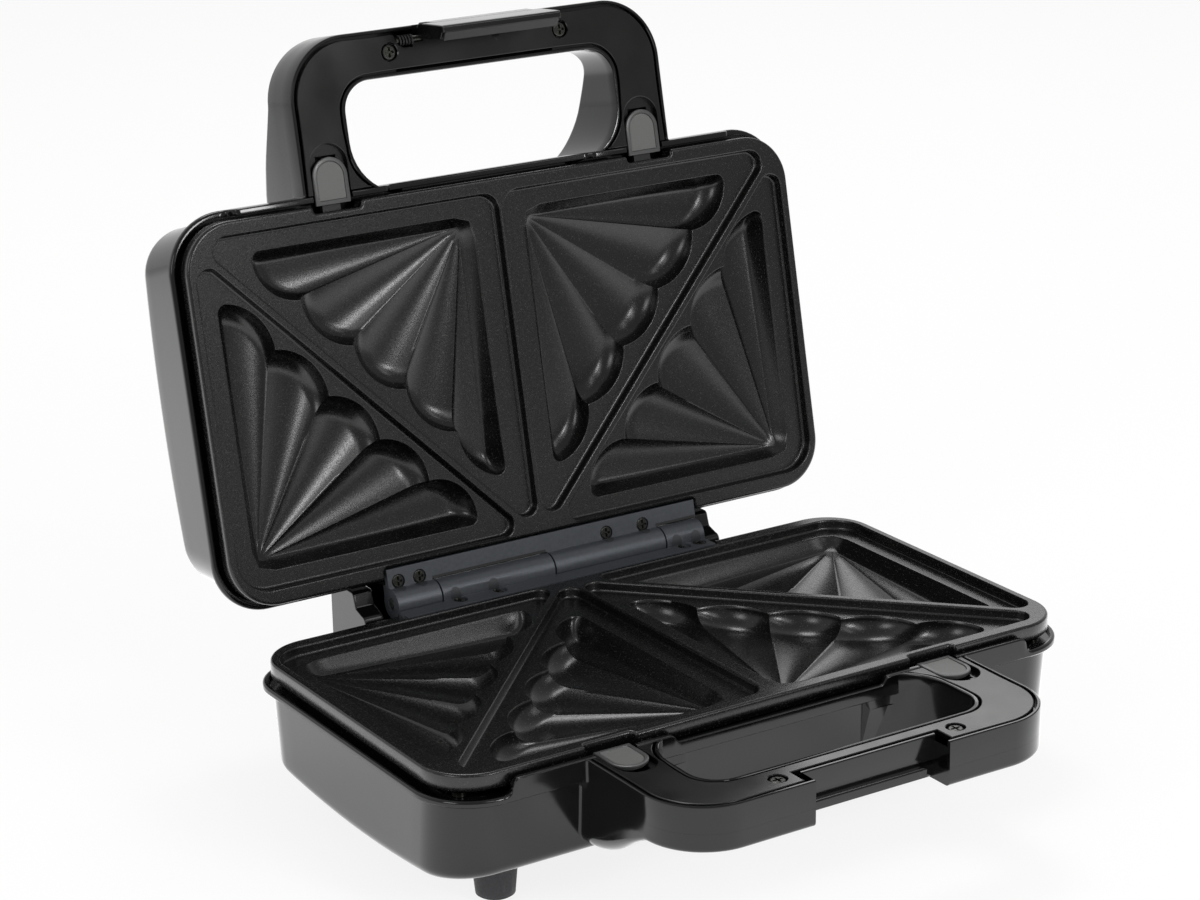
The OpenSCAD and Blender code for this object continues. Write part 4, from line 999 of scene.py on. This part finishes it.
def hingeRecessShade(x, axisZ):
    # painted shade: a dark patch just over the hinge's barrel stands in for the shaded wall of the recess where a
    # screw's clearance, a cylinder along z, meets the barrel; at a from the screw's middle the patch reaches up to the
    # angle acos((screwOff - sqrt(clearance^2 - a^2)) / r)
    b = barrel
    a = np.linspace(-b["reach"], b["reach"], 15)[:, None]
    end = np.arccos((b["screwOff"] - np.sqrt(b["clearance"] ** 2 - a * a)) / b["r"])
    t = b["from"] + (end - b["from"]) * np.linspace(0, 1, 10)
    t = np.concatenate([t, t[:, ::-1]], axis=1)
    r = np.repeat([b["outer"], b["inner"]], 10)
    return loft(np.stack([x + a + 0 * t, half["hingeY"] - r * np.cos(t), axisZ + r * np.sin(t)], -1))


# dark patches of painted shade over the barrel, where each hinge screw's recess is
for side, axisZ in barrel["axis"].items():
    shape = joined([hingeRecessShade(x, axisZ) for x, y in screws[side + "HingeScrews"][2]])
    makePiece(side + "HingeRecessShades", shape, side, finishes["hingeShade"], [side + "_hinge_leaf"], sharp=40)
# black boxes of painted shade in the slots above the base's knuckles
makePiece("hingeGapShades", boxes(barrel["gapShades"]), "lid", finishes["printAndShade"], ["lid_hinge_leaf"], sharp=40)
print("screws, buttons, latch and hinge details made")

# carried-over parts
dressed = {  # node: finish, and how far its edges are eased
    "base_hinge_leaf": ("hinge", 0.3), "lid_hinge_leaf": ("hinge", 0.3),
    "front_feet": ("foot", 0.0), "rear_feet": ("foot", 0.0), "cord_gland": ("gland", 0.3),
}
for node, (finish, edge) in dressed.items():
    dressNode(node, finishes[finish], edge)
kept = {
    # the latch's pin and spring are dark as painted shade of the recess at the latch's end
    "hinge_pin": "steel", "latch_pin": "blackScrew", "latch_spring": "shadedWire",
    "base_spring_left": "spring", "base_spring_right": "spring",
    "lid_spring_left": "spring", "lid_spring_right": "spring",
    "base_reflector": "reflector", "lid_reflector": "reflector", "base_element": "element", "lid_element": "element",
    "base_body_screws": "blackScrew", "lid_body_screws": "blackScrew",
    "base_terminals": "ceramic", "lid_terminals": "ceramic", "thermostat": "ceramic", "thermal_fuse": "fuse",
    "power_lens": "redLens", "ready_lens": "greenLens", "lamps": "lampGlass",
}
for node, finish in kept.items():
    mesh = frame["nodes"][node].data
    mesh.materials.clear()
    mesh.materials.append(finishes[finish])
print("carried-over parts finished:", len(dressed) + len(kept))

# studio
studio = {
    "floorSize": 1.8, "floorColour": "#f4f4f4", "fade": (0.45, 1.4),
    "floorWhite": 0.85,                            # share of the floor that shows plain white to the camera
    "floorSheen": 1.1, "farSheen": 0.2,            # what gloss sees of the floor, near and far, besides its lit colour
    "worldLight": 0.6,                             # on matt surfaces; the camera sees plain white
    "backGlow": 1.0, "frontGlow": 0.5,             # what gloss sees of the backdrop and of the room in front
    "turnOver": (-0.4, 0.6),                       # where the one passes into the other, as y of the direction
    "lamps": [  # name, azimuth and elevation from the object in degrees (0 is behind it), size in m, radiance
        ("frontStrip", 144, 38, (0.16, 0.75), 5.0),
        ("frontKey", 166, 23, (0.3, 0.3), 26.0),
        ("frontFill", 180, 36, (0.34, 0.6), 3.5),
        ("leftBox", -112, 26, (0.5, 0.6), 6.0),
        ("backTop", 20, 64, (0.6, 0.5), 9.0),
        ("backRight", 42, 26, (0.6, 0.25), 2.5),
    ],
    "lampDistance": 1.7, "aimHeight": 0.1,
}


def makeFloor():
    # a diffuse sheet that holds the shadow; the camera sees it mostly white, and gloss sees it fade with distance
    size = studio["floorSize"]
    mesh = bpy.data.meshes.new("floor")
    mesh.from_pydata([(-size, -size, 0), (size, -size, 0), (size, size, 0), (-size, size, 0)], [], [(0, 1, 2, 3)])
    floor = newObject("floor", mesh)
    material, tree, place = newMaterial("pale floor")
    path = addNode(tree, "ShaderNodeLightPath", {})
    away = addNode(tree, "ShaderNodeVectorMath", {"operation": "LENGTH", "Vector": place})
    fade = addNode(tree, "ShaderNodeMapRange", {
        "interpolation_type": "SMOOTHSTEP", "Value": away.outputs["Value"], "From Min": studio["fade"][0],
        "From Max": studio["fade"][1], "To Min": studio["floorSheen"], "To Max": studio["farSheen"]})
    sheen = addNode(tree, "ShaderNodeMath", {"operation": "MULTIPLY", 0: path.outputs["Is Glossy Ray"],
                                             1: fade.outputs["Result"]})
    glow = addNode(tree, "ShaderNodeEmission", {"Strength": sheen.outputs[0]})
    surface = addNode(tree, "ShaderNodeBsdfDiffuse", {"Color": linear(studio["floorColour"])})
    lit = addNode(tree, "ShaderNodeAddShader", {0: surface.outputs[0], 1: glow.outputs[0]})
    share = addNode(tree, "ShaderNodeMath", {"operation": "MULTIPLY", 0: path.outputs["Is Camera Ray"],
                                             1: studio["floorWhite"]})
    white = addNode(tree, "ShaderNodeEmission", {"Strength": 1.0})
    seen = addNode(tree, "ShaderNodeMixShader", {0: share.outputs[0], 1: lit.outputs[0], 2: white.outputs[0]})
    addNode(tree, "ShaderNodeOutputMaterial", {"Surface": seen.outputs[0]})
    mesh.materials.append(material)


def makeWorld():
    # white to the camera; gloss and clear parts see it whitest behind the object
    world = bpy.data.worlds.new("studio")
    world.use_nodes = True
    tree = world.node_tree
    tree.nodes.clear()
    path = addNode(tree, "ShaderNodeLightPath", {})
    mirrored = addNode(tree, "ShaderNodeMath", {"operation": "MAXIMUM", 0: path.outputs["Is Glossy Ray"],
                                                1: path.outputs["Is Transmission Ray"]})
    place = addNode(tree, "ShaderNodeTexCoord", {})
    split = addNode(tree, "ShaderNodeSeparateXYZ", {"Vector": place.outputs["Generated"]})
    room = addNode(tree, "ShaderNodeMapRange", {
        "interpolation_type": "SMOOTHSTEP", "Value": split.outputs["Y"], "From Min": studio["turnOver"][0],
        "From Max": studio["turnOver"][1], "To Min": studio["frontGlow"], "To Max": studio["backGlow"]})
    first = addNode(tree, "ShaderNodeMix", {"data_type": "FLOAT", 0: mirrored.outputs[0], 2: studio["worldLight"],
                                            3: room.outputs["Result"]})
    level = addNode(tree, "ShaderNodeMix", {"data_type": "FLOAT", 0: path.outputs["Is Camera Ray"],
                                            2: first.outputs[0], 3: 1.0})
    back = addNode(tree, "ShaderNodeBackground", {"Color": (1, 1, 1, 1), "Strength": level.outputs[0]})
    addNode(tree, "ShaderNodeOutputWorld", {"Surface": back.outputs[0]})
    bpy.context.scene.world = world


def makeLamp(name, azimuth, elevation, size, radiance):
    # an area lamp aimed at the object; power = pi * radiance * area
    az, el = math.radians(azimuth), math.radians(elevation)
    out = np.array([math.cos(el) * math.sin(az), math.cos(el) * math.cos(az), math.sin(el)])
    place = out * studio["lampDistance"] + [0, 0, studio["aimHeight"]]
    data = bpy.data.lights.new(name, "AREA")
    data.shape, data.size, data.size_y = "RECTANGLE", size[0], size[1]
    data.energy = math.pi * radiance * size[0] * size[1]
    right = np.array([-math.cos(az), math.sin(az), 0])
    turn(newObject(name, data), right, np.cross(out, right), out, place)


makeFloor()
makeWorld()
for lamp in studio["lamps"]:
    makeLamp(*lamp)
bpy.context.scene.view_settings.view_transform = "Standard"
print("studio made")
